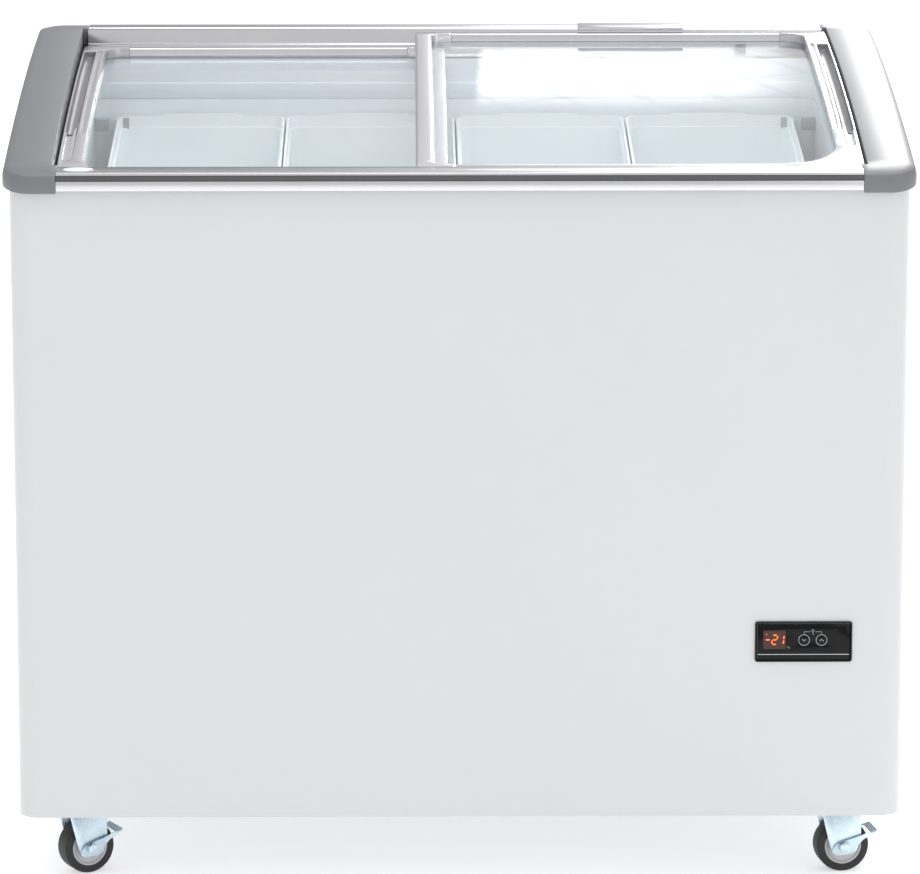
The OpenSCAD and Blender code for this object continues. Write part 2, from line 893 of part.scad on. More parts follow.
module panel_block(inset, y0, y1) {
    box(panel_x - panel_w / 2 + inset, panel_x + panel_w / 2 - inset, y0, y1,
        panel_z - panel_h / 2 + inset, panel_z + panel_h / 2 - inset);
}

module control_bezel() {
    front = -body_d / 2;
    color([0.08, 0.08, 0.09])
        difference() {
            union() {
                panel_block(0, bezel_face_y, front - 0.05);
                panel_block(5.4, front - 0.1, front + 26);
            }
            panel_block(2.6, bezel_face_y - 1, lens_face_y + 1.6);
            panel_block(7.4, bezel_face_y, front + 24);
        }
}

module control_lens() {
    color([0.02, 0.02, 0.03])
        difference() {
            panel_block(2.8, lens_face_y, lens_face_y + 1.5);
            for (x = key_x)
                rod_y(x, lens_face_y - 1, lens_face_y + 3, key_z, key_r + 0.2);
        }
}

module control_key(x) {
    color([0.05, 0.05, 0.06])
        union() {
            rod_y(x, lens_face_y, lens_face_y + 4, key_z, key_r);
            rod_y(x, lens_face_y + 4 - cut, lens_face_y + 7, key_z, 2.5);
        }
}

module key_down() {
    control_key(key_x[0]);
}

module key_up() {
    control_key(key_x[1]);
}

module control_board() {
    y0 = lens_face_y + 10;
    color("darkgreen")
        union() {
            panel_block(8, y0, y0 + 1.6);
            // Display module and the switch bodies behind the keys
            box(panel_x - 43, panel_x - 18, y0 - 7, y0 + cut, panel_z - 10, panel_z + 14);
            for (x = key_x)
                box(x - 3, x + 3, y0 - 2, y0 + cut, key_z - 3, key_z + 3);
        }
}

// ---- Grilles, cord inlet, drain -------------------------------------------------------------
module side_grille() {
    x0 = body_w / 2 + 0.1;
    slats = 11;
    pitch = (side_z1 - side_z0 - 24) / slats;
    color([0.85, 0.86, 0.87])
        difference() {
            box(x0, x0 + 2.4, side_y0, side_y1, side_z0, side_z1);
            for (i = [0:slats - 1])
                box(x0 - 1, x0 + 4, side_y0 + 14, side_y1 - 14, side_z0 + 14 + i * pitch, side_z0 + 14 + i * pitch + 8);
        }
}

inlet_x = rear_x0 + 40;
inlet_z = rear_z0 + 40;

module rear_grille() {
    y0 = body_d / 2 + 0.1;
    slats = 12;
    pitch = (rear_z1 - rear_z0 - 90) / slats;
    color([0.7, 0.71, 0.72])
        difference() {
            box(rear_x0 - 12, rear_x1 + 10, y0, y0 + 1.5, rear_z0, rear_z1);
            for (i = [0:slats - 1])
                box(rear_x0 + 20, rear_x1 - 20, y0 - 1, y0 + 3, rear_z0 + 74 + i * pitch, rear_z0 + 74 + i * pitch + 7);
            box(inlet_x - 14, inlet_x + 14, y0 - 1, y0 + 3, inlet_z - 10, inlet_z + 10);
            for (p = rear_grille_screws)
                rod_y(p[0], y0 - 1, y0 + 3, p[1], 2.2);
        }
}

// Three-pin appliance inlet for a detachable mains lead
module cord_inlet() {
    y0 = body_d / 2 + 1.7;
    color([0.1, 0.1, 0.1])
        union() {
            difference() {
                union() {
                    box(inlet_x - 17, inlet_x + 17, y0, y0 + 2.5, inlet_z - 13, inlet_z + 13);
                    box(inlet_x - 13.6, inlet_x + 13.6, y0 - 26, y0 + cut, inlet_z - 9.6, inlet_z + 9.6);
                }
                box(inlet_x - 11.5, inlet_x + 11.5, y0 - 16, y0 + 4, inlet_z - 7.5, inlet_z + 7.5);
            }
            for (i = [-1:1])
                box(inlet_x + i * 6.5 - 1, inlet_x + i * 6.5 + 1, y0 - 17, y0 - 3, inlet_z - 2 - abs(i), inlet_z + 3 - abs(i));
        }
}

spigot_low = 62;
spigot_r = 8.5;

module drain_tube() {
    color([0.8, 0.82, 0.84])
        difference() {
            union() {
                rod_z(drain_x, drain_y, pan_z - 2, well_z - liner_t - 0.1, drain_r);
                rod_z(drain_x, drain_y, spigot_low, pan_z - 2, spigot_r);
            }
            rod_z(drain_x, drain_y, spigot_low - 1, well_z, drain_bore_r);
        }
}

module drain_plug() {
    color([0.3, 0.32, 0.34])
        union() {
            rod_z(drain_x, drain_y, well_z + gap, well_z + 4, 13);
            rod_z(drain_x, drain_y, well_z - 14, well_z + 1, drain_bore_r - 0.1);
            rod_z(drain_x, drain_y, well_z + 3, well_z + 12, 4);
        }
}

module cabinet_screws() {
    y0 = body_d / 2;
    color(silver)
        union() {
            for (x = rear_screw_x, z = rear_screw_z) {
                rod_y(x, y0 + 0.05, y0 + 2, z, 4.2);
                rod_y(x, y0 - 8, y0 + 1, z, 2);
            }
            for (p = rear_grille_screws) {
                rod_y(p[0], y0 + 1.65, y0 + 3.6, p[1], 4.2);
                rod_y(p[0], y0 - 6, y0 + 2, p[1], 2);
            }
            for (p = bolt_spots) {
                rod_z(p[0], p[1], pan_z - 8, pan_top + 6, 3);
                translate([p[0], p[1], pan_z - 7])
                    cylinder(h = 4.2, r = 5.8, $fn = 6);
                translate([p[0], p[1], pan_top + 0.1])
                    cylinder(h = 5, r = 5.8, $fn = 6);
            }
        }
}

// ---- Casters --------------------------------------------------------------------------------
// Each caster is drawn with its swivel axis on Z and its wheel rolling along +X, then turned
yaw_front_left = 28;
yaw_front_right = 10;
yaw_rear_left = 160;
yaw_rear_right = -35;
wheel_r = wheel_d / 2;
crown_z1 = pan_z - 8.4;
crown_z0 = crown_z1 - 3;
king_r = 5;
axle_r = 4;
run = 0.05; // running clearance
leg_y = tyre_w / 2 + 1.6;
leg_t = 2;
hub_r = 21.5;

module at_caster(spot, yaw) {
    translate([spot[0], spot[1], 0])
        rotate([0, 0, yaw])
            children();
}

module caster_plates() {
    plate_z = pan_z - 2.6;
    color(zinc)
        for (c = caster_spots)
            translate([c[0], c[1], 0]) {
                difference() {
                    translate([0, 0, plate_z + 1.25])
                        cube([60, 60, 2.5], center = true);
                    for (i = [-1, 1], j = [-1, 1])
                        rod_z(i * caster_bolt, j * caster_bolt, plate_z - 1, plate_z + 4, 3.3);
                }
                rod_z(0, 0, crown_z1 + 0.2, plate_z + 0.1, 17);
                rod_z(0, 0, crown_z0 - 4, plate_z + 0.1, king_r);
                rod_z(0, 0, crown_z0 - 4, crown_z0 - 0.2, 8);
            }
}

// Side leg of a fork: wide under the crown, upright at the wheel's side, rounded at the axle
module fork_leg() {
    polygon([
        [trail - 28, crown_z1], [trail + 20, crown_z1], [trail + 20, wheel_r + 8], [trail + 8, wheel_r - 10],
        [trail - 8, wheel_r - 10], [trail - 18, wheel_r - 3]
    ]);
}

module fork() {
    color(zinc)
        difference() {
            union() {
                for (side = [0, 1])
                    mirror([0, side, 0])
                        translate([0, leg_y + leg_t, 0])
                            rotate([90, 0, 0])
                                linear_extrude(leg_t)
                                    fork_leg();
                box(trail - 28, trail + 20, -leg_y - leg_t, leg_y + leg_t, crown_z0, crown_z1);
                rod_y(trail, -leg_y - leg_t - 5, leg_y + leg_t + 5, wheel_r, axle_r);
                for (side = [0, 1])
                    mirror([0, side, 0])
                        translate([trail, leg_y + leg_t + 3, wheel_r])
                            rotate([-90, 0, 0])
                                cylinder(h = 4, r = 6.5, $fn = 6);
            }
            rod_z(0, 0, crown_z0 - 1, crown_z1 + 1, king_r + run);
        }
}

module hub() {
    half = tyre_w / 2 - 0.5;
    color([0.78, 0.78, 0.79])
        translate([trail, 0, wheel_r])
            rotate([90, 0, 0])
                rotate_extrude()
                    polygon([
                        [axle_r + run, -half], [8, -half], [8, -half + 2], [17, -half + 2], [18.5, -half],
                        [hub_r - 0.1, -half], [hub_r - 0.1, half], [18.5, half], [17, half - 2], [8, half - 2],
                        [8, half], [axle_r + run, half]
                    ]);
}

module tyre() {
    half = tyre_w / 2;
    color([0.1, 0.1, 0.1])
        translate([trail, 0, wheel_r])
            rotate([90, 0, 0])
                rotate_extrude()
                    polygon([
                        [hub_r, -half + 0.5], [wheel_r - 4, -half], [wheel_r - 1.2, -half + 2], [wheel_r, -half + 5],
                        [wheel_r, half - 5], [wheel_r - 1.2, half - 2], [wheel_r - 4, half], [hub_r, half - 0.5]
                    ]);
}

pedal_rise = 18; // angle of the released pedal above level
pedal_reach = 41;

// Two arms beside the fork that turn on the axle, joined by the tread past the tyre
module brake_pedal() {
    arm_y = leg_y + leg_t + 0.3;
    color(zinc)
        translate([trail, 0, wheel_r])
            rotate([0, -pedal_rise, 0])
                difference() {
                    union() {
                        for (side = [0, 1])
                            mirror([0, side, 0]) {
                                rod_y(0, arm_y, arm_y + 2, 0, 8);
                                translate([0, arm_y + 2, 0])
                                    rotate([90, 0, 0])
                                        linear_extrude(2)
                                            polygon([[-16, -7], [0, -8], [pedal_reach, -2], [pedal_reach, 2], [0, 8],
                                                     [-8, 4], [-16, -3]]);
                            }
                        box(wheel_r + 2.5, pedal_reach, -arm_y - 0.5, arm_y + 0.5, -1.2, 1.2);
                    }
                    rod_y(0, -40, 40, 0, axle_r + run);
                }
}

module fork_front_left() {
    at_caster(caster_spots[0], yaw_front_left)
        fork();
}

module fork_front_right() {
    at_caster(caster_spots[1], yaw_front_right)
        fork();
}

module fork_rear_left() {
    at_caster(caster_spots[2], yaw_rear_left)
        fork();
}

module fork_rear_right() {
    at_caster(caster_spots[3], yaw_rear_right)
        fork();
}

module hub_front_left() {
    at_caster(caster_spots[0], yaw_front_left)
        hub();
}

module hub_front_right() {
    at_caster(caster_spots[1], yaw_front_right)
        hub();
}

module hub_rear_left() {
    at_caster(caster_spots[2], yaw_rear_left)
        hub();
}

module hub_rear_right() {
    at_caster(caster_spots[3], yaw_rear_right)
        hub();
}

module tyre_front_left() {
    at_caster(caster_spots[0], yaw_front_left)
        tyre();
}

module tyre_front_right() {
    at_caster(caster_spots[1], yaw_front_right)
        tyre();
}

module tyre_rear_left() {
    at_caster(caster_spots[2], yaw_rear_left)
        tyre();
}

module tyre_rear_right() {
    at_caster(caster_spots[3], yaw_rear_right)
        tyre();
}

module brake_pedal_left() {
    at_caster(caster_spots[0], yaw_front_left)
        brake_pedal();
}

module brake_pedal_right() {
    at_caster(caster_spots[1], yaw_front_right)
        brake_pedal();
}

outer_wrapper();
rear_panel();
base_pan();
insulation_foam();
inner_liner();
evaporator_tube();
liner_collar();
left_end_cap();
right_end_cap();
front_rail();
front_rail_strip();
rear_rail();
lid_keeper();
lid_stops();
basket_supports();
compressor();
compressor_feet();
condenser();
fan_shroud();
fan_motor();
fan_blade();
refrigerant_pipes();
control_bezel();
control_lens();
control_board();
key_down();
key_up();
side_grille();
rear_grille();
cord_inlet();
drain_tube();
drain_plug();
cabinet_screws();
caster_plates();
left_lid_glass();
left_lid_rails();
left_lid_handle_stile();
left_lid_meeting_stile();
right_lid_glass();
right_lid_rails();
right_lid_handle_stile();
right_lid_meeting_stile();
basket_1();
basket_2();
basket_3();
basket_4();
fork_front_left();
fork_front_right();
fork_rear_left();
fork_rear_right();
hub_front_left();
hub_front_right();
hub_rear_left();
hub_rear_right();
tyre_front_left();
tyre_front_right();
tyre_rear_left();
tyre_rear_right();
brake_pedal_left();
brake_pedal_right();
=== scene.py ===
# %% [markdown]
# # A chest freezer with curved sliding lids
# The steel cabinet, its lids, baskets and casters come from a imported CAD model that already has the
# right sizes and joints. This lesson gives every visible piece its finished shape and finish. Each new
# piece starts as a primitive at its real size and place, is shaped with edit-mode operators, and then
# rides on the CAD body it belongs to, so that it moves with the freezer's joints.

# %% Load the frame
import json
import math
import bmesh
import bpy
from mathutils import Matrix, Vector


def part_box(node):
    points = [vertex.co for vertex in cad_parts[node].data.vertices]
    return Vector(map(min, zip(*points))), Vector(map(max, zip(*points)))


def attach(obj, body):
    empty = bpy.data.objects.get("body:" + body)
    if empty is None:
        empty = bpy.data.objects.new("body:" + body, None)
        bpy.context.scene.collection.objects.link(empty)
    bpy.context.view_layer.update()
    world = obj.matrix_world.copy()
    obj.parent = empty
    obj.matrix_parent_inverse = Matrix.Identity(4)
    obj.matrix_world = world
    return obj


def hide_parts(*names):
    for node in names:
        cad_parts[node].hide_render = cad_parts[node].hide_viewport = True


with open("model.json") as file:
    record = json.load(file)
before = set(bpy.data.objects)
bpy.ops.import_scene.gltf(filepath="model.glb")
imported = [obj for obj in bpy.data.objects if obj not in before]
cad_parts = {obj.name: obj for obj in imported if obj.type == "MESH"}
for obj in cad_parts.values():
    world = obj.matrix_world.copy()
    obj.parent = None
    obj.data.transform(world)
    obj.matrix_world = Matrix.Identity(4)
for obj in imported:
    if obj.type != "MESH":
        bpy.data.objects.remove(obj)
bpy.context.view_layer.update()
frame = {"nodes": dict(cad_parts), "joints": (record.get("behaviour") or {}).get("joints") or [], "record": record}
record = frame["record"]
MM = 0.001
body_of = {node: body for body, nodes in record["behaviour"]["bodies"].items() for node in nodes}
slot_of = {part["node"]: part["material_slot"] for part in record["subparts"]}

# %% [markdown]
# ## Small tools for the edit mode
# Operators act on what is selected, so each step deselects everything, makes one piece active and picks
# faces or edges by a rule about their place or their normal, which is what a hand does with a mouse.


# %% Helpers for objects and selections
def activate(piece):
    bpy.ops.object.select_all(action="DESELECT")
    piece.select_set(True)
    bpy.context.view_layer.objects.active = piece


def edit(piece):
    activate(piece)
    bpy.ops.object.mode_set(mode="EDIT")


def leave():
    bpy.ops.object.mode_set(mode="OBJECT")


def pick(piece, kind, rule):
    """Selects the active piece's vertices, edges or faces for which rule(centre, item) is true."""
    bpy.ops.mesh.select_mode(type=kind)
    bpy.ops.mesh.select_all(action="DESELECT")
    mesh = bmesh.from_edit_mesh(piece.data)
    items = {"VERT": mesh.verts, "EDGE": mesh.edges, "FACE": mesh.faces}[kind]
    count = 0
    for item in items:
        if kind == "VERT":
            centre = item.co
        elif kind == "EDGE":
            centre = (item.verts[0].co + item.verts[1].co) / 2
        else:
            centre = item.calc_center_median()
        if rule(centre, item):
            item.select_set(True)
            count += 1
    bmesh.update_edit_mesh(piece.data)
    return count


def along(edge, axis):
    """True if an edge runs along one axis, given as 0, 1 or 2."""
    d = (edge.verts[1].co - edge.verts[0].co).normalized()
    return abs(d[axis]) > 0.99


def settle(piece):
    """Puts a piece's place into its mesh, so that its object sits at the origin."""
    activate(piece)
    bpy.ops.object.transform_apply(location=True, rotation=True, scale=True)


def new_block(name, low, high):
    """A cube primitive, sized and placed between two corners."""
    low, high = Vector(low), Vector(high)
    bpy.ops.object.select_all(action="DESELECT")
    bpy.ops.mesh.primitive_cube_add(size=1, location=(low + high) / 2)
    piece = bpy.context.object
    piece.name = piece.data.name = name
    piece.scale = high - low
    settle(piece)
    return piece


def new_drum(name, centre, axis, radius, depth, vertices=64):
    """A cylinder primitive round an axis through its centre."""
    bpy.ops.object.select_all(action="DESELECT")
    turn = Vector((0, 0, 1)).rotation_difference(Vector(axis)).to_euler()
    bpy.ops.mesh.primitive_cylinder_add(vertices=vertices, radius=radius, depth=depth, location=centre,
                                        rotation=turn)
    piece = bpy.context.object
    piece.name = piece.data.name = name
    settle(piece)
    return piece


def join(name, pieces):
    bpy.ops.object.select_all(action="DESELECT")
    for piece in pieces:
        piece.select_set(True)
    bpy.context.view_layer.objects.active = pieces[0]
    bpy.ops.object.join()
    pieces[0].name = pieces[0].data.name = name
    return pieces[0]


def modify(piece, kind, **settings):
    """Adds a modifier, sets it and applies it."""
    activate(piece)
    modifier = piece.modifiers.new(kind.title(), kind)
    for key, value in settings.items():
        setattr(modifier, key, value)
    bpy.ops.object.modifier_apply(modifier=modifier.name)


def soften(piece, width, segments=2, angle=30):
    """Rounds every sharp edge, as moulding and folding do, and shades the rest smooth."""
    modify(piece, "BEVEL", width=width, segments=segments, limit_method="ANGLE",
           angle_limit=math.radians(angle), harden_normals=False)
    smooth(piece)


def smooth(piece, angle=35):
    activate(piece)
    bpy.ops.object.shade_smooth_by_angle(angle=math.radians(angle))


def slice_along_y(piece, y0, y1, step):
    """Cuts a piece across at even steps, so that it can follow a curve."""
    edit(piece)
    count = max(2, round((y1 - y0) / step))
    for i in range(1, count):
        bpy.ops.mesh.select_all(action="SELECT")
        bpy.ops.mesh.bisect(plane_co=(0, y0 + (y1 - y0) * i / count, 0), plane_no=(0, 1, 0))
    leave()


def copy_of(piece, name, place):
    """A copy with its own mesh, moved by a matrix."""
    copy = piece.copy()
    copy.data = piece.data.copy()
    copy.name = copy.data.name = name
    bpy.context.collection.objects.link(copy)
    copy.data.transform(place)
    return copy


def twin(piece, name):
    """A mirrored copy across X = 0, with its normals turned outward again."""
    copy = copy_of(piece, name, Matrix.Scale(-1, 4, (1, 0, 0)))
    copy.data.flip_normals()
    return copy


def to_side(piece, side):
    """The piece itself on the right, or its mirrored twin in its place on the left."""
    if side > 0:
        return piece
    name = piece.name
    mirrored = twin(piece, name)
    bpy.data.objects.remove(piece)
    mirrored.name = name
    return mirrored


def cut_with(piece, cutter):
    """Takes one piece out of another and throws the cutter away."""
    modify(piece, "BOOLEAN", operation="DIFFERENCE", object=cutter, solver="EXACT")
    bpy.data.objects.remove(cutter)


def fit(piece, body, material, slot, *nodes):
    """The last step of each piece: its material, its body and the CAD nodes that it stands for; slot is not used.
    """
    piece.data.materials.clear()
    piece.data.materials.append(material)
    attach(piece, body)
    if nodes:
        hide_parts(*nodes)
    return piece


print("helpers ready, one millimetre is", MM, "m")


# %% [markdown]
# ## The curved top
# Everything on top follows one shallow arc about an axis along X. It is far easier to model such pieces
# flat, with Z as the height above the arc, and to lay them on it at the end. The arc's radius and the
# depth of the upper pane below it are design values, and the arc's centre follows from the pane's box:
# its lowest point is its front bottom edge and its highest is its rear top edge.

# %% Find the arc and lay pieces on it
ARC_RADIUS = 4.2
SKIRT = 21 * MM
cap_low, cap_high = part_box("left_end_cap")
pane_low, pane_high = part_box("right_lid_glass")
front_point = Vector((pane_low.y, pane_low.z))
rear_point = Vector((pane_high.y, pane_high.z))
front_r, rear_r = ARC_RADIUS - 16 * MM, ARC_RADIUS - 12.2 * MM
span = (rear_point - front_point).length
across = (front_r ** 2 - rear_r ** 2 + span ** 2) / (2 * span)
down = math.sqrt(front_r ** 2 - across ** 2)
unit = (rear_point - front_point) / span
ARC_Y = front_point.x + unit.x * across + unit.y * down
ARC_Z = front_point.y + unit.y * across - unit.x * down


def arc_height(y, off=0.0):
    return ARC_Z + math.sqrt((ARC_RADIUS + off) ** 2 - (y - ARC_Y) ** 2)


def lay_on_arc(piece):
    for vertex in piece.data.vertices:
        vertex.co.z = arc_height(vertex.co.y, vertex.co.z)
    piece.data.update()


print("arc centre", round(ARC_Y, 4), round(ARC_Z, 4), "front top", round(arc_height(-0.305), 4))

# %% [markdown]
# ## Camera, floor and light
# The viewer stands well back with a long lens and looks down a little, so the front stays almost
# square. A white room with a few large soft lamps gives the even light of a product studio.

# %% Camera, floor and lights
LENS = 195.7
camera_data = bpy.data.cameras.new("studio_camera")
camera_data.lens = LENS
camera_data.sensor_width = 36
camera_data.clip_end = 200
camera = bpy.data.objects.new("studio_camera", camera_data)
bpy.context.collection.objects.link(camera)
camera.location = (-0.0585, -5.705, 1.576)
camera.rotation_euler = (math.radians(90 - 11.1), 0, math.radians(-0.62))
bpy.context.scene.camera = camera
bpy.context.scene.view_settings.view_transform = "Standard"

bpy.ops.object.select_all(action="DESELECT")
bpy.ops.mesh.primitive_plane_add(size=80, location=(0, 0, 0))
floor = bpy.context.object
floor.name = "studio_floor"


def soft_lamp(name, place, target, wide, tall, power):
    lamp_data = bpy.data.lights.new(name, "AREA")
    lamp_data.shape = "RECTANGLE"
    lamp_data.size = wide
    lamp_data.size_y = tall
    lamp_data.energy = power
    lamp = bpy.data.objects.new(name, lamp_data)
    bpy.context.collection.objects.link(lamp)
    lamp.location = place
    lamp.rotation_euler = (Vector(target) - Vector(place)).to_track_quat("-Z", "Y").to_euler()
    return lamp


soft_lamp("overhead", (0.2, -0.3, 3.6), (0, 0, 0.5), 3.2, 2.4, 62)
soft_lamp("front_right", (3.6, -4.2, 2.2), (0.2, 0, 0.5), 2.4, 2.4, 14)
soft_lamp("right_strip", (1.06, 3.5, 2.75), (0.47, 0, 0.85), 0.5, 1.9, 78)
sky_panel = soft_lamp("panel_behind", (0.43, 3.5, 2.17), (0.25, 0, 0.87), 0.72, 0.8, 2.7)
print("lens", LENS, "mm, lamps", len(bpy.data.lights))

# %% [markdown]
# The panel behind hangs where the right lid mirrors it. Its light fades toward its edges and is crossed
# by the faint shadows of a lattice, so that the glass shows a soft veil and not a hard white block.

# %% A lamp whose light fades and is crossed by faint bars
sky_panel.data.use_nodes = True
tree = sky_panel.data.node_tree
nodes, links = tree.nodes, tree.links
spot = nodes.new("ShaderNodeNewGeometry")
split = nodes.new("ShaderNodeSeparateXYZ")
links.new(spot.outputs["Parametric"], split.inputs[0])


def number(operation, first, second=0.0, third=0.0):
    """A maths node on numbers or sockets."""
    made = nodes.new("ShaderNodeMath")
    made.operation = operation
    for i, value in enumerate((first, second, third)):
        if isinstance(value, bpy.types.NodeSocket):
            links.new(value, made.inputs[i])
        else:
            made.inputs[i].default_value = value
    return made.outputs[0]


def fade(value, start, end):
    made = nodes.new("ShaderNodeMapRange")
    made.interpolation_type = "SMOOTHSTEP"
    links.new(value, made.inputs["Value"])
    made.inputs["From Min"].default_value = start
    made.inputs["From Max"].default_value = end
    return made.outputs["Result"]


u, v = split.outputs["X"], split.outputs["Y"]
edges = number("MULTIPLY", number("MULTIPLY", fade(u, 0.0, 0.45), fade(u, 1.0, 0.97)),
               number("MULTIPLY", fade(v, 0.0, 0.4), fade(v, 1.0, 0.7)))
steep = number("SINE", number("MULTIPLY_ADD", number("ADD", number("MULTIPLY", u, 1.6), v), 19.0, 0.4))
shallow = number("SINE", number("MULTIPLY_ADD", number("SUBTRACT", number("MULTIPLY", u, 0.5), v), 26.0, 0.9))
lattice = number("ADD", fade(steep, 0.86, 1.0), fade(shallow, 0.9, 1.0))
bars = number("SUBTRACT", 1.0, number("MULTIPLY", lattice, 0.28))
links.new(number("MULTIPLY", edges, bars), nodes["Emission"].inputs["Strength"])
print("lamp nodes", len(nodes))

# %% [markdown]
# The room is white, but its wall behind the freezer falls off toward the left. Metal and glass only
# look like themselves when they have something darker to mirror.

# %% A white room, darker behind and to the left
world = bpy.data.worlds.new("white_room")
bpy.context.scene.world = world
world.use_nodes = True
tree = world.node_tree
nodes, links = tree.nodes, tree.links
way = nodes.new("ShaderNodeTexCoord")
split = nodes.new("ShaderNodeSeparateXYZ")
links.new(way.outputs["Generated"], split.inputs[0])
behind = fade(split.outputs["Y"], 0.1, 0.75)
leftward = fade(split.outputs["X"], 0.03, -0.1)
low_sky = fade(split.outputs["Z"], 0.66, 0.34)
shade = number("MULTIPLY", number("MULTIPLY", behind, low_sky), number("MULTIPLY_ADD", leftward, 0.4, 0.06))
background = nodes["Background"]
background.inputs["Color"].default_value = (1.0, 0.995, 0.99, 1)
links.new(number("MULTIPLY", number("SUBTRACT", 1.0, shade), 0.78), background.inputs["Strength"])
print("world nodes", len(nodes))

# %% [markdown]
# ## Materials
# Each finish starts from what the real one is and how its surface was made. Patterns are sized in
# millimetres: a noise texture's scale is how many of its features fit in a metre, so a 2 mm ripple
# has a scale of 500.


# %% Colour and node helpers
def tint(code):
    """A hex sRGB colour as linear values."""
    channels = [int(code[i:i + 2], 16) / 255 for i in (0, 2, 4)]
    return [c / 12.92 if c <= 0.04045 else ((c + 0.055) / 1.055) ** 2.4 for c in channels] + [1.0]


def per_mm(size):
    """The scale of a pattern whose features are this many millimetres apart."""
    return 1000.0 / size


def add_node(tree, kind, inputs=None, **settings):
    """Adds one node, sets its properties, and fills or links its inputs."""
    made = tree.nodes.new(kind)
    for key, value in settings.items():
        setattr(made, key, value)
    for key, value in (inputs or {}).items():
        if isinstance(value, bpy.types.NodeSocket):
            tree.links.new(value, made.inputs[key])
        else:
            made.inputs[key].default_value = value
    return made


def start_material(name):
    material = bpy.data.materials.new(name)
    material.use_nodes = True
    tree = material.node_tree
    shader = tree.nodes["Principled BSDF"]
    return material, tree, shader


def surface(name, colour, shade, rough, rough_spread, ripple_mm, ripple_depth, patch_mm=60, stretch=(1, 1, 1),
            **fixed):
    """A finish with a slowly drifting colour, a roughness that varies and a fine ripple in its surface.

    ripple_mm is the spacing of the ripple and ripple_depth its height, both in millimetres. stretch
    draws the ripple out along an axis, as brushing does. fixed are plain values of the shader's sockets.
    """
    material, tree, shader = start_material(name)
    place = add_node(tree, "ShaderNodeTexCoord").outputs["Object"]
    turned = add_node(tree, "ShaderNodeMapping", {"Vector": place, "Scale": stretch}).outputs["Vector"]
    patches = add_node(tree, "ShaderNodeTexNoise",
                       {"Vector": place, "Scale": per_mm(patch_mm), "Detail": 3.0})
    ripple = add_node(tree, "ShaderNodeTexNoise",
                      {"Vector": turned, "Scale": per_mm(ripple_mm), "Detail": 2.0})
    mixed = add_node(tree, "ShaderNodeMix", {"Factor": patches.outputs["Fac"]}, data_type="RGBA")
    mixed.inputs[6].default_value = tint(colour)
    mixed.inputs[7].default_value = tint(shade)
    tree.links.new(mixed.outputs[2], shader.inputs["Base Color"])
    spread = add_node(tree, "ShaderNodeMapRange",
                      {"Value": ripple.outputs["Fac"], "To Min": rough - rough_spread,
                       "To Max": rough + rough_spread})
    tree.links.new(spread.outputs["Result"], shader.inputs["Roughness"])
    bump = add_node(tree, "ShaderNodeBump", {"Height": ripple.outputs["Fac"], "Strength": 1.0,
                                             "Distance": ripple_depth * MM})
    tree.links.new(bump.outputs["Normal"], shader.inputs["Normal"])
    for socket, value in fixed.items():
        shader.inputs[socket.replace("_", " ")].default_value = value
    return material


print("a pattern of 2 mm needs a scale of", per_mm(2))

# %% [markdown]
# The cabinet is sheet steel with a baked powder coat. Powder flows into a faint orange peel with a
# ripple of about two millimetres, which breaks up reflections without looking textured.

# %% Painted and metal finishes
powder_coat = surface("powder_coated_steel", "CCCDCF", "C9CACD", 0.34, 0.02, 2.2, 0.004, 240)
galvanised = surface("galvanised_sheet", "B4B8BB", "A6ABAF", 0.42, 0.08, 6, 0.004, 14, Metallic=0.9)
black_enamel = surface("black_enamel_steel", "18191B", "1F2022", 0.3, 0.04, 3, 0.01, 40)
motor_paint = surface("grey_motor_paint", "55585C", "606468", 0.4, 0.05, 3, 0.01, 30)
# Brushing runs along X, so the fine scratches are drawn out along it and blur highlights across it.
anodised = surface("anodised_aluminium", "D8D8DC", "D0D0D5", 0.22, 0.02, 0.5, 0.0002, 90,
                   (0.02, 1, 1), Metallic=1.0)
anodised_stile = surface("anodised_stile", "DEDEE2", "D6D6DB", 0.24, 0.02, 0.5, 0.0002, 90,
                         (1, 0.02, 1), Metallic=0.9)
# Zinc plating with a blue passivate: pale, slightly blotchy, with a soft metallic shine.
zinc = surface("blue_zinc_plate", "D3E1EA", "B9CCD8", 0.27, 0.07, 1.2, 0.006, 9, Metallic=0.85)
fins = surface("condenser_aluminium", "BCC0C3", "A9ADB1", 0.4, 0.08, 2, 0.01, 20, Metallic=0.9)
copper = surface("drawn_copper", "B8714A", "9C5B3A", 0.32, 0.08, 2, 0.01, 12, Metallic=1.0)
print("paint and metal, materials so far", len(bpy.data.materials))

# %% [markdown]
# Plastics get their look from the mould: end caps carry a fine spark-eroded grain that keeps them
# satin, glossy parts were polished, and the frosted baskets are thin polypropylene that lets a little
# light through.

# %% Plastics and rubber
cap_abs = surface("moulded_grey_abs", "737478", "6E6F73", 0.46, 0.05, 0.9, 0.012, 120)
stile_abs = surface("lacquered_silver_abs", "C4C4C8", "BDBDC1", 0.25, 0.03, 0.9, 0.002, 90, Metallic=0.6)
pale_abs = surface("moulded_pale_abs", "E2E8EB", "DAE1E5", 0.3, 0.04, 0.9, 0.008, 120)
liner_plastic = surface("vacuum_formed_liner", "E3EAEE", "DBE3E8", 0.38, 0.05, 4, 0.03, 110)
collar_plastic = surface("extruded_collar", "D6DEE4", "CDD6DD", 0.36, 0.05, 2, 0.01, 110)
frosted = surface("frosted_polypropylene", "F0F5F8", "E9F0F4", 0.4, 0.06, 1.4, 0.01, 70,
                  Transmission_Weight=0.1, IOR=1.49)
support_grey = surface("moulded_support_grey", "8B98A0", "84929A", 0.5, 0.05, 1, 0.02, 30)
# Painted shade: a darker grey for the trough in each handle hollow, where the hollow's shade falls.
painted_hollow_shade = surface("grip_lining_grey", "7E7D80", "767578", 0.4, 0.05, 0.9, 0.01, 60)
strip_grey = surface("dark_strip_vinyl", "4A4B4E", "454649", 0.42, 0.05, 0.8, 0.01, 60)
black_abs = surface("moulded_black_abs", "0B0B0C", "101011", 0.25, 0.04, 0.8, 0.004, 30)
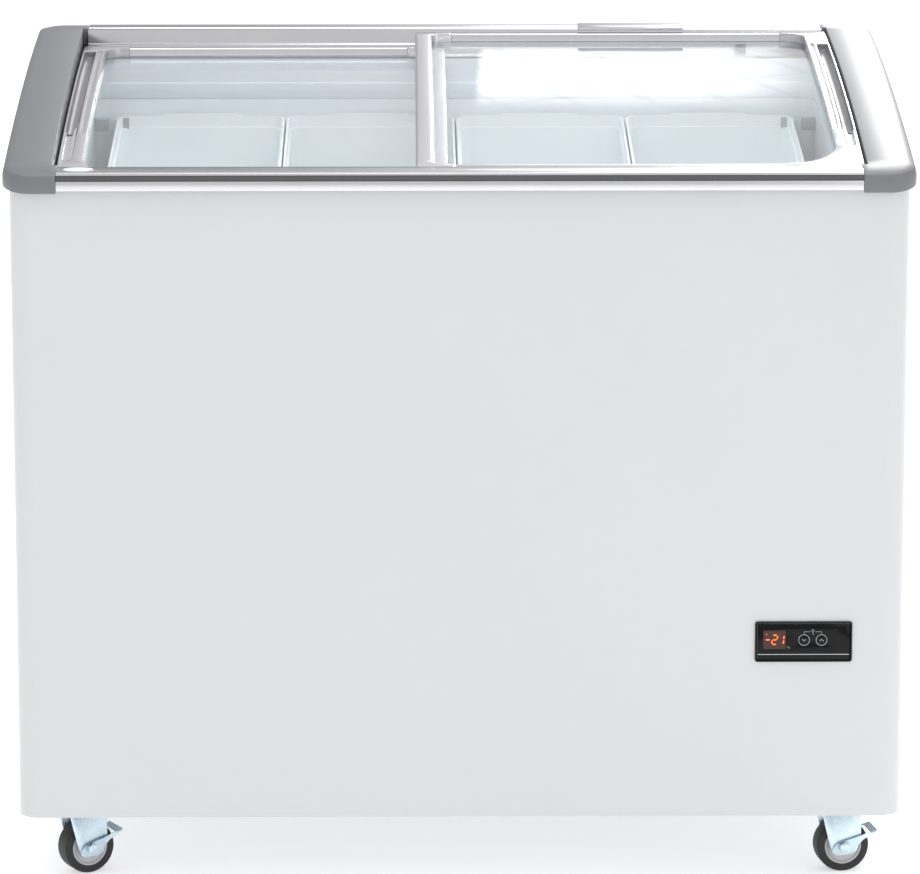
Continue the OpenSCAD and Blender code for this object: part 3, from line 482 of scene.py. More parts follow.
rubber = surface("black_rubber", "151515", "1E1E1E", 0.62, 0.08, 0.8, 0.05, 8)
tyre_rubber = surface("tyre_rubber", "202021", "1B1B1C", 0.55, 0.1, 0.7, 0.04, 12)
hub_plastic = surface("moulded_hub_grey", "C3C2C5", "BBBABE", 0.4, 0.05, 0.9, 0.02, 14)
fan_plastic = surface("moulded_white_fan", "E4E5E5", "DCDDDD", 0.35, 0.05, 1, 0.01, 30)
grille_plastic = surface("moulded_grille", "DDDFE1", "D5D7D9", 0.42, 0.05, 0.9, 0.012, 60)
foam_yellow = surface("polyurethane_foam", "E4D39A", "D8C688", 0.85, 0.05, 3, 0.3, 20)
board_green = surface("circuit_board", "16583A", "124A31", 0.35, 0.05, 1.5, 0.02, 5)
panel_gloss = surface("polished_black_acrylic", "030304", "050506", 0.12, 0.02, 8, 0.001, 25,
                      Specular_IOR_Level=0.2)
ink = surface("screen_printed_ink", "AEB4B8", "A2A9AE", 0.45, 0.05, 0.5, 0.005, 4)
# The floor is a back-lit white table, as product studios use, so that shadows under the freezer stay light.
floor_paint = surface("pale_floor", "FAFAFA", "F8F8F8", 0.7, 0.03, 30, 0.02, 900, Emission_Strength=0.5)
floor_paint.node_tree.nodes["Principled BSDF"].inputs["Emission Color"].default_value = (1, 1, 1, 1)
floor.data.materials.append(floor_paint)
print("plastic and rubber, materials so far", len(bpy.data.materials))


# %% [markdown]
# Window glass reflects at a glancing angle and is clear from above. A Principled shader with full
# transmission does both. Lamps would be blocked by it in a path tracer, so shadow rays meet a
# Transparent shader instead, which lets the light into the freezer.

# %% Glass and lamps
def glass_material(name, colour, shadow):
    material, tree, shader = start_material(name)
    shader.inputs["Base Color"].default_value = tint(colour)
    shader.inputs["Transmission Weight"].default_value = 1.0
    shader.inputs["IOR"].default_value = 1.5
    place = add_node(tree, "ShaderNodeTexCoord").outputs["Object"]
    wipe = add_node(tree, "ShaderNodeTexNoise", {"Vector": place, "Scale": per_mm(160), "Detail": 2.0})
    haze = add_node(tree, "ShaderNodeMapRange", {"Value": wipe.outputs["Fac"], "To Min": 0.0, "To Max": 0.03})
    tree.links.new(haze.outputs["Result"], shader.inputs["Roughness"])
    clear = add_node(tree, "ShaderNodeBsdfTransparent", {"Color": tint(shadow)})
    path = add_node(tree, "ShaderNodeLightPath")
    mix = add_node(tree, "ShaderNodeMixShader", {"Fac": path.outputs["Is Shadow Ray"]})
    tree.links.new(shader.outputs["BSDF"], mix.inputs[1])
    tree.links.new(clear.outputs["BSDF"], mix.inputs[2])
    tree.links.new(mix.outputs["Shader"], tree.nodes["Material Output"].inputs["Surface"])
    return material


lid_glass = glass_material("float_glass", "FBFDFE", "FBFDFE")


def glowing(name, colour, glow, strength):
    material, tree, shader = start_material(name)
    place = add_node(tree, "ShaderNodeTexCoord").outputs["Object"]
    grain = add_node(tree, "ShaderNodeTexNoise", {"Vector": place, "Scale": per_mm(1.5)})
    rough = add_node(tree, "ShaderNodeMapRange",
                     {"Value": grain.outputs["Fac"], "To Min": 0.25, "To Max": 0.4})
    tree.links.new(rough.outputs["Result"], shader.inputs["Roughness"])
    shader.inputs["Base Color"].default_value = tint(colour)
    shader.inputs["Emission Color"].default_value = tint(glow)
    shader.inputs["Emission Strength"].default_value = strength
    return material


led_red = glowing("lit_red_segment", "FF6A1E", "FF5A0C", 2.1)
# The display window is no lamp; its faint red emission is a painted glow of the LEDs' light in the filter.
painted_filter_glow = glowing("display_filter", "2A0A06", "3A0C06", 0.25)
print("glass and lamps, materials so far", len(bpy.data.materials))

# %% [markdown]
# ## CAD pieces that keep their shape
# Many nodes already have the right form and only lack the small radius that every folded, cast or
# moulded edge has. Their meshes are loose triangles, so a copy is merged first, its flat areas are
# joined up, and then its edges are rounded. The copy stands for the node.


# %% A rounded copy of a CAD node
def rounded_copy(node, material, width, segments=2, name=None, flat=0.2):
    source = frame["nodes"][node]
    piece = source.copy()
    piece.data = source.data.copy()
    for key in list(piece.keys()):
        del piece[key]
    piece.parent = None
    piece.name = piece.data.name = name or node + "_finished"
    bpy.context.collection.objects.link(piece)
    edit(piece)
    bpy.ops.mesh.select_all(action="SELECT")
    bpy.ops.mesh.remove_doubles(threshold=0.00002)
    bpy.ops.mesh.dissolve_limited(angle_limit=math.radians(flat))
    leave()
    if "custom_normal" in piece.data.attributes:
        piece.data.attributes.remove(piece.data.attributes["custom_normal"])
    if width:
        soften(piece, width * MM, segments)
    else:
        smooth(piece)
    return fit(piece, body_of[node], material, slot_of[node], node)


for node, material, width in [
    ("rear_panel", powder_coat, 0.0), ("base_pan", galvanised, 0.3),
    ("lid_keeper", anodised, 0.6),
    ("lid_stops", rubber, 0.8), ("basket_supports", support_grey, 1.2), ("liner_collar", collar_plastic, 0.8),
    ("inner_liner", liner_plastic, 0.0), ("side_grille", grille_plastic, 0.5),
    ("rear_grille", galvanised, 0.2),
    ("cord_inlet", black_abs, 0.3), ("control_lens", panel_gloss, 0.15),
    ("key_down", panel_gloss, 0.2), ("key_up", panel_gloss, 0.2), ("drain_plug", rubber, 0.6),
    ("drain_tube", pale_abs, 0.2), ("cabinet_screws", zinc, 0.25), ("caster_plates", zinc, 0.4),
]:
    rounded_copy(node, material, width)

for node, material in [
    ("insulation_foam", foam_yellow), ("evaporator_tube", copper), ("compressor", black_enamel),
    ("compressor_feet", rubber), ("condenser", fins), ("fan_shroud", black_abs), ("fan_motor", motor_paint),
    ("refrigerant_pipes", copper), ("control_board", board_green), ("fan_blade", fan_plastic),
]:
    frame["nodes"][node].data.materials.clear()
    frame["nodes"][node].data.materials.append(material)
print("rounded and dressed the CAD pieces")

# %% [markdown]
# ## The cabinet's shell
# The outer shell is one steel sheet wrapped round the front and both sides. It is modelled as a block
# whose upright front corners are bevelled to the bend radius, then opened at the back, top and bottom
# and given the thickness of the sheet. Its top edge follows the curved frame.

# %% Build the wrapped shell
shell_low, shell_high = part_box("outer_wrapper")
SHEET = 1.0 * MM
BEND = 25 * MM
shell = new_block("cabinet_shell", shell_low, shell_high)
edit(shell)
pick(shell, "EDGE", lambda c, e: along(e, 2) and c.y < 0)
bpy.ops.mesh.bevel(offset=BEND, segments=14, profile=0.5)
pick(shell, "FACE", lambda c, f: abs(f.normal.z) > 0.9 or f.normal.y > 0.9)
bpy.ops.mesh.delete(type="FACE")
leave()
slice_along_y(shell, shell_low.y, shell_high.y, 25 * MM)
for vertex in shell.data.vertices:
    if vertex.co.z > 0.5:
        vertex.co.z = arc_height(vertex.co.y, -9 * MM)
modify(shell, "SOLIDIFY", thickness=SHEET, offset=-1)

bezel_low, bezel_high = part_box("control_bezel")
cut_with(shell, new_block("cutter", (bezel_low.x + 5 * MM, -0.33, bezel_low.z + 5 * MM),
                          (bezel_high.x - 5 * MM, -0.29, bezel_high.z - 5 * MM)))
grille_low, grille_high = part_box("side_grille")
cut_with(shell, new_block("cutter", (0.48, grille_low.y + 8 * MM, grille_low.z + 8 * MM),
                          (0.51, grille_high.y - 8 * MM, grille_high.z - 8 * MM)))
smooth(shell)
hem = new_block("hem", (shell_low.x + 1 * MM, shell_low.y + 1 * MM, shell_low.z),
                (shell_high.x - 1 * MM, shell_high.y - 1 * MM, shell_low.z + SHEET))
edit(hem)
pick(hem, "EDGE", lambda c, e: along(e, 2) and c.y < 0)
bpy.ops.mesh.bevel(offset=BEND - 1 * MM, segments=14, profile=0.5)
pick(hem, "FACE", lambda c, f: abs(f.normal.z) > 0.9)
bpy.ops.mesh.inset(thickness=13 * MM, depth=0)
bpy.ops.mesh.delete(type="FACE")
pick(hem, "EDGE", lambda c, e: e.is_boundary)
bpy.ops.mesh.bridge_edge_loops()
leave()
shell = join("cabinet_shell", [shell, hem])
fit(shell, "cabinet", powder_coat, "white_enamel", "outer_wrapper")
print("shell faces", len(shell.data.polygons))

# %% [markdown]
# ## End caps
# Each cap is a moulded cover with a rounded plan, an upright skirt and a broad chamfer up to its top.
# Bevelling the plan corners first and the top edge second lets the chamfer run round them evenly.

# %% Model the left cap flat, then lay it on the arc
CAP_CORNER = 32.5 * MM
CHAMFER = 10 * MM
TAB = 6 * MM
TAB_Y = 286 * MM
INNER_X = cap_high.x - TAB
cap = new_block("left_cap", (cap_low.x, cap_low.y, -SKIRT), (INNER_X, cap_high.y, 0))
edit(cap)
pick(cap, "EDGE", lambda c, e: along(e, 2) and c.x < cap_low.x + 1 * MM)
bpy.ops.mesh.bevel(offset=CAP_CORNER, segments=16, profile=0.5)
pick(cap, "EDGE", lambda c, e: abs(c.z) < 0.01 * MM and (not along(e, 1) or c.x < INNER_X - 1 * MM))
bpy.ops.mesh.bevel(offset=CHAMFER, segments=2, profile=0.62)
pick(cap, "FACE", lambda c, f: f.normal.z < -0.9)
bpy.ops.mesh.inset(thickness=2.5 * MM, depth=0)
bpy.ops.mesh.extrude_region_move(TRANSFORM_OT_translate={"value": (0, 0, 16 * MM)})
for y in (-TAB_Y, TAB_Y):
    bpy.ops.mesh.select_all(action="SELECT")
    bpy.ops.mesh.bisect(plane_co=(0, y, 0), plane_no=(0, 1, 0))
pick(cap, "FACE", lambda c, f: f.normal.x > 0.9 and abs(c.y) > TAB_Y and c.x > INNER_X - 1 * MM)
bpy.ops.mesh.extrude_region_move(TRANSFORM_OT_translate={"value": (TAB, 0, 0)})
leave()
soften(cap, 0.9 * MM, 2, 35)
slice_along_y(cap, cap_low.y, cap_high.y, 21 * MM)
wall = new_block("cap_wall", (INNER_X - 3.5 * MM, -TAB_Y, -33.4 * MM), (INNER_X, TAB_Y, -SKIRT / 2))
soften(wall, 0.5 * MM, 1)
slice_along_y(wall, -TAB_Y, TAB_Y, 21 * MM)
cap = join("left_cap", [cap, wall])
lay_on_arc(cap)
smooth(cap, 28)
right_cap = twin(cap, "right_cap")
fit(cap, "cabinet", cap_abs, "cap_grey", "left_end_cap")
fit(right_cap, "cabinet", cap_abs, "cap_grey", "right_end_cap")
print("cap faces", len(cap.data.polygons))

# %% [markdown]
# ## Lid glass
# Each pane is four millimetres thick and bent to the arc, so it is a thin block sliced into short
# strips. The strips are short enough for reflections to run smoothly over the curve.


# %% Two bent panes
def bent_pane(name, node, body, low_off):
    low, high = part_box(node)
    pane = new_block(name, (low.x, low.y, low_off), (high.x, high.y, low_off + 3.9 * MM))
    slice_along_y(pane, low.y, high.y, 12 * MM)
    lay_on_arc(pane)
    smooth(pane)
    return fit(pane, body, lid_glass, "lid_glass", node)


bent_pane("left_pane", "left_lid_glass", "left_lid", -31 * MM)
bent_pane("right_pane", "right_lid_glass", "right_lid", -16 * MM)
print("two panes bent to a radius of", ARC_RADIUS, "m")

# %% [markdown]
# ## Lid frames
# A lid's frame is made of short plastic corner pieces and two aluminium rails. Each piece starts as a
# flat block on the lid's plan; the rounded window is cut out of it with a block whose upright edges were
# bevelled to the window's corner radii. The outer piece also carries the handle: a long hollow for the
# fingertips, a thin blade beside it to pull on, and a wedge that closes the hollow at the front. A
# separate dark trough lies in the hollow; its dark grey is painted shade for the hollow's shadow.

# %% Frame pieces as a plan with a window cut out
RAIL_W = 11 * MM
STILE_W = 26 * MM
FRAME_T = 13 * MM
HOLLOW_X, HOLLOW_Z = 8.6 * MM, -2.4 * MM  # the hollow's axis, from the stile's outer edge and its top


def window_cutter(x0, x1, y0, y1, radii):
    """A tall block with its four upright edges rounded: front left, front right, rear right, rear left."""
    cutter = new_block("cutter", (x0, y0, -0.1), (x1, y1, 0.1))
    for radius, right, rear in zip(radii, (False, True, True, False), (False, False, True, True)):
        edit(cutter)
        pick(cutter, "EDGE", lambda c, e: along(e, 2) and abs(c.x - (x1 if right else x0)) < 0.1 * MM
             and abs(c.y - (y1 if rear else y0)) < 0.1 * MM)
        bpy.ops.mesh.bevel(offset=radius, segments=10, profile=0.5)
        leave()
    return cutter


def rounded_cutter(low, high, radius):
    """A block whose upright edges are rounded."""
    cutter = new_block("cutter", low, high)
    edit(cutter)
    pick(cutter, "EDGE", lambda c, e: along(e, 2))
    bpy.ops.mesh.bevel(offset=radius, segments=4, profile=0.5)
    leave()
    return cutter


def hollow_drum(name, outer, blade, radius, shorter=0.0):
    """A drum along the hollow, with its ends rounded off."""
    middle, length = (blade[0] + blade[1]) / 2, blade[1] - blade[0] - shorter
    drum = new_drum(name, (outer - HOLLOW_X, middle, HOLLOW_Z), (0, 1, 0), radius, length, 32)
    edit(drum)
    pick(drum, "EDGE", lambda c, e: abs(abs(c.y - middle) - length / 2) < 0.1 * MM)
    bpy.ops.mesh.bevel(offset=5 * MM, segments=4, profile=0.5)
    leave()
    return drum


def lay_frame(piece, high):
    """Shifts a flat frame piece to its height above the arc and bends it down onto it."""
    xs = [v.co.y for v in piece.data.vertices]
    slice_along_y(piece, min(xs), max(xs), 21 * MM)
    for vertex in piece.data.vertices:
        vertex.co.z += high
    lay_on_arc(piece)
    smooth(piece, 28)


def outer_frame(name, y0, y1, outer, high, blade, wedge, side):
    """The outer end of a lid, drawn for the right side and mirrored for the left."""
    x_window = outer - STILE_W
    piece = new_block(name, (outer - 86 * MM, y0, -FRAME_T), (outer, y1, 0))
    cut_with(piece, window_cutter(outer - 0.3, x_window, y0 + RAIL_W, y1 - RAIL_W,
                                  (5 * MM, 58 * MM, 22 * MM, 5 * MM)))
    cut_with(piece, new_block("cutter", (outer - 0.3, 0, -0.1), (outer - 54 * MM, y1 + 0.1, 0.1)))
    cut_with(piece, hollow_drum("cutter", outer, blade, 7.4 * MM))
    cut_with(piece, rounded_cutter((outer - 22.6 * MM, blade[0] + 6 * MM, -2.4 * MM),
                                   (outer - 18 * MM, blade[1] + 4 * MM, 0.1), 1.8 * MM))
    cut_with(piece, rounded_cutter((outer - 15 * MM, wedge[0] - 5 * MM, -3.2 * MM),
                                   (outer - 3.5 * MM, wedge[1], 0.1), 4 * MM))
    lip = new_block("wedge", (outer - 14.2 * MM, wedge[0], -6 * MM),
                    (outer - 4.6 * MM, wedge[1] + 8 * MM, 1.1 * MM))
    edit(lip)
    pick(lip, "FACE", lambda c, f: f.normal.y < -0.9)
    bpy.ops.transform.resize(value=(0.75, 1, 0.2), center_override=(outer - 12 * MM, wedge[0], -5 * MM))
    pick(lip, "FACE", lambda c, f: f.normal.y > 0.9)
    bpy.ops.transform.resize(value=(0.26, 1, 1), center_override=(outer - 14.2 * MM, 0, 0))
    leave()
    piece = join(name, [piece, lip])
    soften(piece, 0.7 * MM, 2, 38)
    piece = to_side(piece, side)
    lay_frame(piece, high)
    return piece


def painted_shade_trough(name, outer, high, blade, side):
    """Painted shade for the hollow: a dark trough, the lower part of a thin tube closed at both ends."""
    piece = hollow_drum(name, outer, blade, 7.2 * MM, 1 * MM)
    edit(piece)
    bpy.ops.mesh.select_all(action="SELECT")
    bpy.ops.mesh.bisect(plane_co=(0, 0, -2.2 * MM), plane_no=(0, 0, 1), clear_outer=True)
    leave()
    modify(piece, "SOLIDIFY", thickness=0.5 * MM, offset=-1)
    piece = to_side(piece, side)
    lay_frame(piece, high)
    return piece


def meeting_frame(name, y0, y1, inner, width, high, side):
    """The end of a lid that crosses over the other lid: a broad rounded bar with two short arms."""
    piece = new_block(name, (inner, y0, -FRAME_T), (inner + width + 24 * MM, y1, 0))
    cut_with(piece, window_cutter(inner + width, inner + 0.4, y0 + RAIL_W, y1 - RAIL_W,
                                  (9 * MM, 5 * MM, 5 * MM, 9 * MM)))
    edit(piece)
    pick(piece, "EDGE", lambda c, e: along(e, 1) and abs(c.z) < 0.01 * MM)
    bpy.ops.mesh.bevel(offset=3.2 * MM, segments=5, profile=0.5)
    leave()
    soften(piece, 0.6 * MM, 2, 40)
    piece = to_side(piece, side)
    lay_frame(piece, high)
    return piece


def rail_pair(name, y0, y1, outer, inner, width, high, side):
    """The front and rear aluminium rails between a lid's corner pieces."""
    rails = []
    for low_y, high_y, arm in ((y0, y0 + RAIL_W, 86 * MM), (y1 - RAIL_W, y1, 54 * MM)):
        rail = new_block("rail", (inner + width + 24.3 * MM, low_y, -FRAME_T),
                         (outer - arm - 0.3 * MM, high_y, -0.3 * MM))
        edit(rail)
        pick(rail, "EDGE", lambda c, e: along(e, 0) and c.z > -1 * MM)
        bpy.ops.mesh.bevel(offset=1.6 * MM, segments=3, profile=0.5)
        leave()
        rails.append(rail)
    piece = join(name, rails)
    piece = to_side(piece, side)
    for vertex in piece.data.vertices:
        vertex.co.z += high
    lay_on_arc(piece)
    smooth(piece, 28)
    return piece


for side, lid, high, meet, blade, wedge in (
    (1, "right_lid", -3 * MM, 20 * MM, (-170 * MM, 205 * MM), (-215 * MM, -166 * MM)),
    (-1, "left_lid", -18 * MM, 21 * MM, (-125 * MM, 235 * MM), (-213 * MM, -120 * MM)),
):
    stile_low, stile_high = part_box(lid + "_handle_stile")
    meet_low, meet_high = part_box(lid + "_meeting_stile")
    y0, y1 = stile_low.y, stile_high.y
    outer = stile_high.x if side > 0 else -stile_low.x
    inner = meet_low.x if side > 0 else -meet_high.x
    frame_end = outer_frame(lid + "_handle", y0, y1, outer, high, blade, wedge, side)
    fit(frame_end, lid, stile_abs, "stile_grey", lid + "_handle_stile")
    # The trough's dark grey is painted shade in the handle hollow.
    shade_sheet = painted_shade_trough(lid + "_grip_lining", outer, high, blade, side)
    fit(shade_sheet, lid, painted_hollow_shade, "stile_grey")
    meeting = meeting_frame(lid + "_meeting_bar", y0, y1, inner, meet, high, side)
    fit(meeting, lid, anodised_stile, "stile_grey", lid + "_meeting_stile")
    rails = rail_pair(lid + "_rail_pair", y0, y1, outer, inner, meet, high, side)
    fit(rails, lid, anodised, "lid_rail", lid + "_rails")
    print(lid, len(frame_end.data.polygons), len(meeting.data.polygons), len(rails.data.polygons))

# %% [markdown]
# ## Baskets
# The four bins are thin frosted plastic. One is modelled: a block with rounded upright and bottom
# edges, opened at the top, whose rim rises to the rear. The rim is folded outward into a lip, and in
# its middle it dips to make a grip. The others are copies.

# %% Model one basket and copy it
basket_low, basket_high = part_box("basket_1")
rim_front, rim_rear = 735 * MM, 800 * MM
basket_mid = (basket_low.x + basket_high.x) / 2
BIN_Y = 236 * MM


def rim_height(y):
    return rim_front + (rim_rear - rim_front) * (y + BIN_Y) / (2 * BIN_Y)


STEP_DOWN = 14 * MM
STEP_OUT = 2.6 * MM
GRIP = 41 * MM
bin_low = (basket_low.x + 5 * MM, -BIN_Y + 1 * MM, basket_low.z)
bin_high = (basket_high.x - 5 * MM, BIN_Y - 1 * MM, basket_low.z + 0.2)
basket = new_block("basket_shell", bin_low, bin_high)
edit(basket)
pick(basket, "EDGE", lambda c, e: along(e, 2))
bpy.ops.mesh.bevel(offset=14 * MM, segments=6, profile=0.5)
pick(basket, "FACE", lambda c, f: f.normal.z > 0.9)
bpy.ops.mesh.delete(type="FACE")
pick(basket, "FACE", lambda c, f: f.normal.z < -0.9)
bpy.ops.mesh.bevel(offset=8 * MM, segments=3, profile=0.5)
for x in (-GRIP - 9 * MM, -GRIP - 4 * MM, -GRIP, GRIP, GRIP + 4 * MM, GRIP + 9 * MM):
    bpy.ops.mesh.select_all(action="SELECT")
    bpy.ops.mesh.bisect(plane_co=(basket_mid + x, 0, 0), plane_no=(1, 0, 0))
for vertex in bmesh.from_edit_mesh(basket.data).verts:
    if vertex.co.z > basket_low.z + 0.15:
        vertex.co.z = rim_height(vertex.co.y) - STEP_DOWN
wide = ((bin_high[0] - bin_low[0]) / 2 + STEP_OUT) / ((bin_high[0] - bin_low[0]) / 2)
deep = (BIN_Y - 1 * MM + STEP_OUT) / (BIN_Y - 1 * MM)
pick(basket, "EDGE", lambda c, e: e.is_boundary)
bpy.ops.mesh.extrude_edges_move(TRANSFORM_OT_translate={"value": (0, 0, 0)})
bpy.ops.transform.resize(value=(wide, deep, 1), center_override=(basket_mid, 0, 0.75))
bpy.ops.mesh.extrude_edges_move(TRANSFORM_OT_translate={"value": (0, 0, STEP_DOWN - 1 * MM)})
mesh = bmesh.from_edit_mesh(basket.data)
for vertex in [v for v in mesh.verts if v.select]:
    away = abs(vertex.co.x - basket_mid)
    if abs(vertex.co.y) > 0.2 and away < GRIP + 1 * MM:
        vertex.co.z -= 8.5 * MM
    elif abs(vertex.co.y) > 0.2 and away < GRIP + 5 * MM:
        vertex.co.z += 2.5 * MM
bmesh.update_edit_mesh(basket.data)
bpy.ops.mesh.extrude_edges_move(TRANSFORM_OT_translate={"value": (0, 0, 0)})
bpy.ops.transform.resize(value=(1.017, 1.011, 1), center_override=(basket_mid, 0, 0.75))
bpy.ops.mesh.extrude_edges_move(TRANSFORM_OT_translate={"value": (0, 0, -4 * MM)})
bpy.ops.mesh.select_all(action="SELECT")
bpy.ops.mesh.normals_make_consistent(inside=False)
leave()
modify(basket, "SOLIDIFY", thickness=1.6 * MM, offset=0)
soften(basket, 0.5 * MM, 2, 40)
for i in range(4):
    node = f"basket_{i + 1}"
    low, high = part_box(node)
    copy = copy_of(basket, f"{node}_bin_shell", Matrix.Translation(((low.x + high.x) / 2 - basket_mid, 0, 0)))
    fit(copy, body_of[node], frosted, slot_of[node], node)
bpy.data.objects.remove(basket)

# The end baskets also carry small grey clips at their outer rear corners.
for node, outward in (("basket_1", -1), ("basket_4", 1)):
    low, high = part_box(node)
    clip_x = (low.x if outward < 0 else high.x) - outward * 9 * MM
    clip = new_block(node + "_clip", (clip_x - 4.5 * MM, BIN_Y - 4.4 * MM, rim_rear - 15 * MM),
                     (clip_x + 4.5 * MM, BIN_Y - 2.2 * MM, rim_rear - 2 * MM))
    edit(clip)
    pick(clip, "FACE", lambda c, f: f.normal.y < -0.9)
    bpy.ops.mesh.inset(thickness=1.2 * MM, depth=-0.5 * MM)
    leave()
    soften(clip, 0.5 * MM, 2)
    fit(clip, body_of[node], support_grey, slot_of["basket_supports"])
print("four baskets, rims from", round(rim_front, 3), "to", round(rim_rear, 3))

# %% [markdown]
# ## Wheels
# A wheel is a plastic hub pressed into a rubber tyre. The tyre is a drum whose ends are inset and
# bridged into a ring, with its shoulders rounded off. The hub is a drum with a shallow dish on each
# face and a boss round the axle. One of each is modelled on the first caster's axle, and turned
# copies serve the others.

# %% Tyres and hubs
WHEEL_R = 30 * MM
TYRE_W = 24 * MM
HUB_R = 21.4 * MM
rolls = {joint["child"]: joint for joint in frame["joints"] if joint["name"].startswith("roll_")}


def at_radius(point, edge_radius):
    return abs(math.hypot(point.x, point.z) - edge_radius) < 0.4 * MM


def ring_inset(piece, inner):
    """Insets both end faces of a drum about the Y axis down to a radius."""
    pick(piece, "FACE", lambda c, f: abs(f.normal.y) > 0.9 and math.hypot(c.x, c.z) < 1 * MM)
    outer = max(math.hypot(v.co.x, v.co.z) for v in bmesh.from_edit_mesh(piece.data).verts if v.select)
    bpy.ops.mesh.inset(thickness=(outer - inner) * math.cos(math.pi / 64), depth=0)


tyre = new_drum("tyre_ring", (0, 0, 0), (0, 1, 0), WHEEL_R, TYRE_W)
edit(tyre)
ring_inset(tyre, HUB_R)
pick(tyre, "FACE", lambda c, f: abs(f.normal.y) > 0.9 and math.hypot(c.x, c.z) < 1 * MM)
bpy.ops.mesh.delete(type="FACE")
pick(tyre, "EDGE", lambda c, e: e.is_boundary)
bpy.ops.mesh.bridge_edge_loops()
pick(tyre, "EDGE", lambda c, e: all(at_radius(v.co, WHEEL_R) for v in e.verts)
     and abs(c.y) > TYRE_W / 2 - 0.1 * MM)
bpy.ops.mesh.bevel(offset=2.6 * MM, segments=4, profile=0.5)
leave()
smooth(tyre, 50)

hub = new_drum("hub_disc", (0, 0, 0), (0, 1, 0), HUB_R, TYRE_W - 1 * MM)
edit(hub)
ring_inset(hub, 19.4 * MM)
bpy.ops.mesh.inset(thickness=1.2 * MM, depth=-2.2 * MM)
bpy.ops.mesh.inset(thickness=9.5 * MM, depth=0)
bpy.ops.mesh.inset(thickness=0.6 * MM, depth=2.4 * MM)
leave()
soften(hub, 0.5 * MM, 2, 30)

for body, joint in rolls.items():
    place = Matrix.Translation(joint["pos_m"])
    turn = Vector((0, 1, 0)).rotation_difference(Vector(joint["axis"])).to_matrix().to_4x4()
    corner = body.replace("wheel_", "")
    for source, kind, material in ((tyre, "tyre", tyre_rubber), (hub, "hub", hub_plastic)):
        copy = copy_of(source, f"{kind}_{corner}_finished", place @ turn)
        fit(copy, body, material, slot_of[f"{kind}_{corner}"], f"{kind}_{corner}")
bpy.data.objects.remove(tyre)
bpy.data.objects.remove(hub)
print("wheels on", len(rolls), "axles")

# %% [markdown]
# ## The control panel's face
# Behind the glossy lens a window shows two digits and a minus sign in red segments. Printed on it are
# two key rings with arrows, a fine line and a small key between them. All are thin plates a few
# hundredths of a millimetre proud of the lens.

# %% Digits, rings and lines
lens_low, lens_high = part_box("control_lens")
FACE_Y = lens_low.y
PRINT = 0.06 * MM
key_low, key_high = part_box("key_down")
key_z = (key_low.z + key_high.z) / 2
panel_x = (lens_low.x + lens_high.x) / 2


def plate(x0, x1, z0, z1, proud=PRINT):
    return new_block("plate", (x0, FACE_Y - proud, z0), (x1, FACE_Y + PRINT, z1))


def bar(x0, z0, x1, z1, width, proud=PRINT):
    """A straight printed stroke from one point to another."""
    length = math.hypot(x1 - x0, z1 - z0)
    stroke = new_block("stroke", (-length / 2, -proud, -width / 2), (length / 2, PRINT, width / 2))
    edit(stroke)
    pick(stroke, "EDGE", lambda c, e: along(e, 1))
    bpy.ops.mesh.bevel(offset=width * 0.35, segments=2)
    leave()
    place = Matrix.Translation(((x0 + x1) / 2, FACE_Y, (z0 + z1) / 2))
    stroke.data.transform(place @ Matrix.Rotation(-math.atan2(z1 - z0, x1 - x0), 4, "Y"))
    return stroke


def ring(x, z, radius, width):
    circle = new_drum("ring", (x, FACE_Y, z), (0, 1, 0), radius, 2 * PRINT, 48)
    edit(circle)
    pick(circle, "FACE", lambda c, f: abs(f.normal.y) > 0.9)
    bpy.ops.mesh.inset(thickness=width, depth=0)
    bpy.ops.mesh.delete(type="FACE")
    pick(circle, "EDGE", lambda c, e: e.is_boundary)
    bpy.ops.mesh.bridge_edge_loops()
    leave()
    return circle


# The window plate carries the filter's painted glow.
window_x, window_z = panel_x - 32.3 * MM, key_z + 0.4 * MM
window = plate(window_x - 12.5 * MM, window_x + 12.5 * MM, window_z - 10.5 * MM, window_z + 10.5 * MM,
               0.03 * MM)
edit(window)
pick(window, "EDGE", lambda c, e: along(e, 1))
bpy.ops.mesh.bevel(offset=0.8 * MM, segments=3)
leave()
window.name = window.data.name = "display_window"
fit(window, "cabinet", painted_filter_glow, "panel_black")

SEGMENTS = {"2": "abged", "1": "bc"}
DIGIT_W, DIGIT_H, STROKE = 5.6 * MM, 10.4 * MM, 1.25 * MM


def digit(figure, x, z):
    """Seven-segment strokes of one figure, leaning a little to the right."""
    w, h = DIGIT_W / 2, DIGIT_H / 2
    lean = 0.1
    ends = {"a": (-w, h, w, h), "b": (w, h, w, 0), "c": (w, 0, w, -h), "d": (-w, -h, w, -h),
            "e": (-w, -h, -w, 0), "f": (-w, 0, -w, h), "g": (-w, 0, w, 0)}
    strokes = []
    for name in SEGMENTS[figure]:
        x0, z0, x1, z1 = ends[name]
        ux, uz = (x1 - x0), (z1 - z0)
        trim = 0.9 * MM / math.hypot(ux, uz)
        strokes.append(bar(x + x0 + lean * z0 + ux * trim, z + z0 + uz * trim, x + x1 + lean * z1 - ux * trim,
                           z + z1 - uz * trim, STROKE, 0.09 * MM))
    return strokes


lit = digit("2", window_x + 0.2 * MM, window_z) + digit("1", window_x + 7.4 * MM, window_z)
lit.append(bar(window_x - 9.6 * MM, window_z, window_x - 5.2 * MM, window_z, STROKE, 0.09 * MM))
lit.append(bar(window_x - 9.4 * MM, window_z + 6 * MM, window_x - 8.4 * MM, window_z + 6 * MM,
               0.9 * MM, 0.09 * MM))
fit(join("lit_digits", lit), "cabinet", led_red, "panel_black")

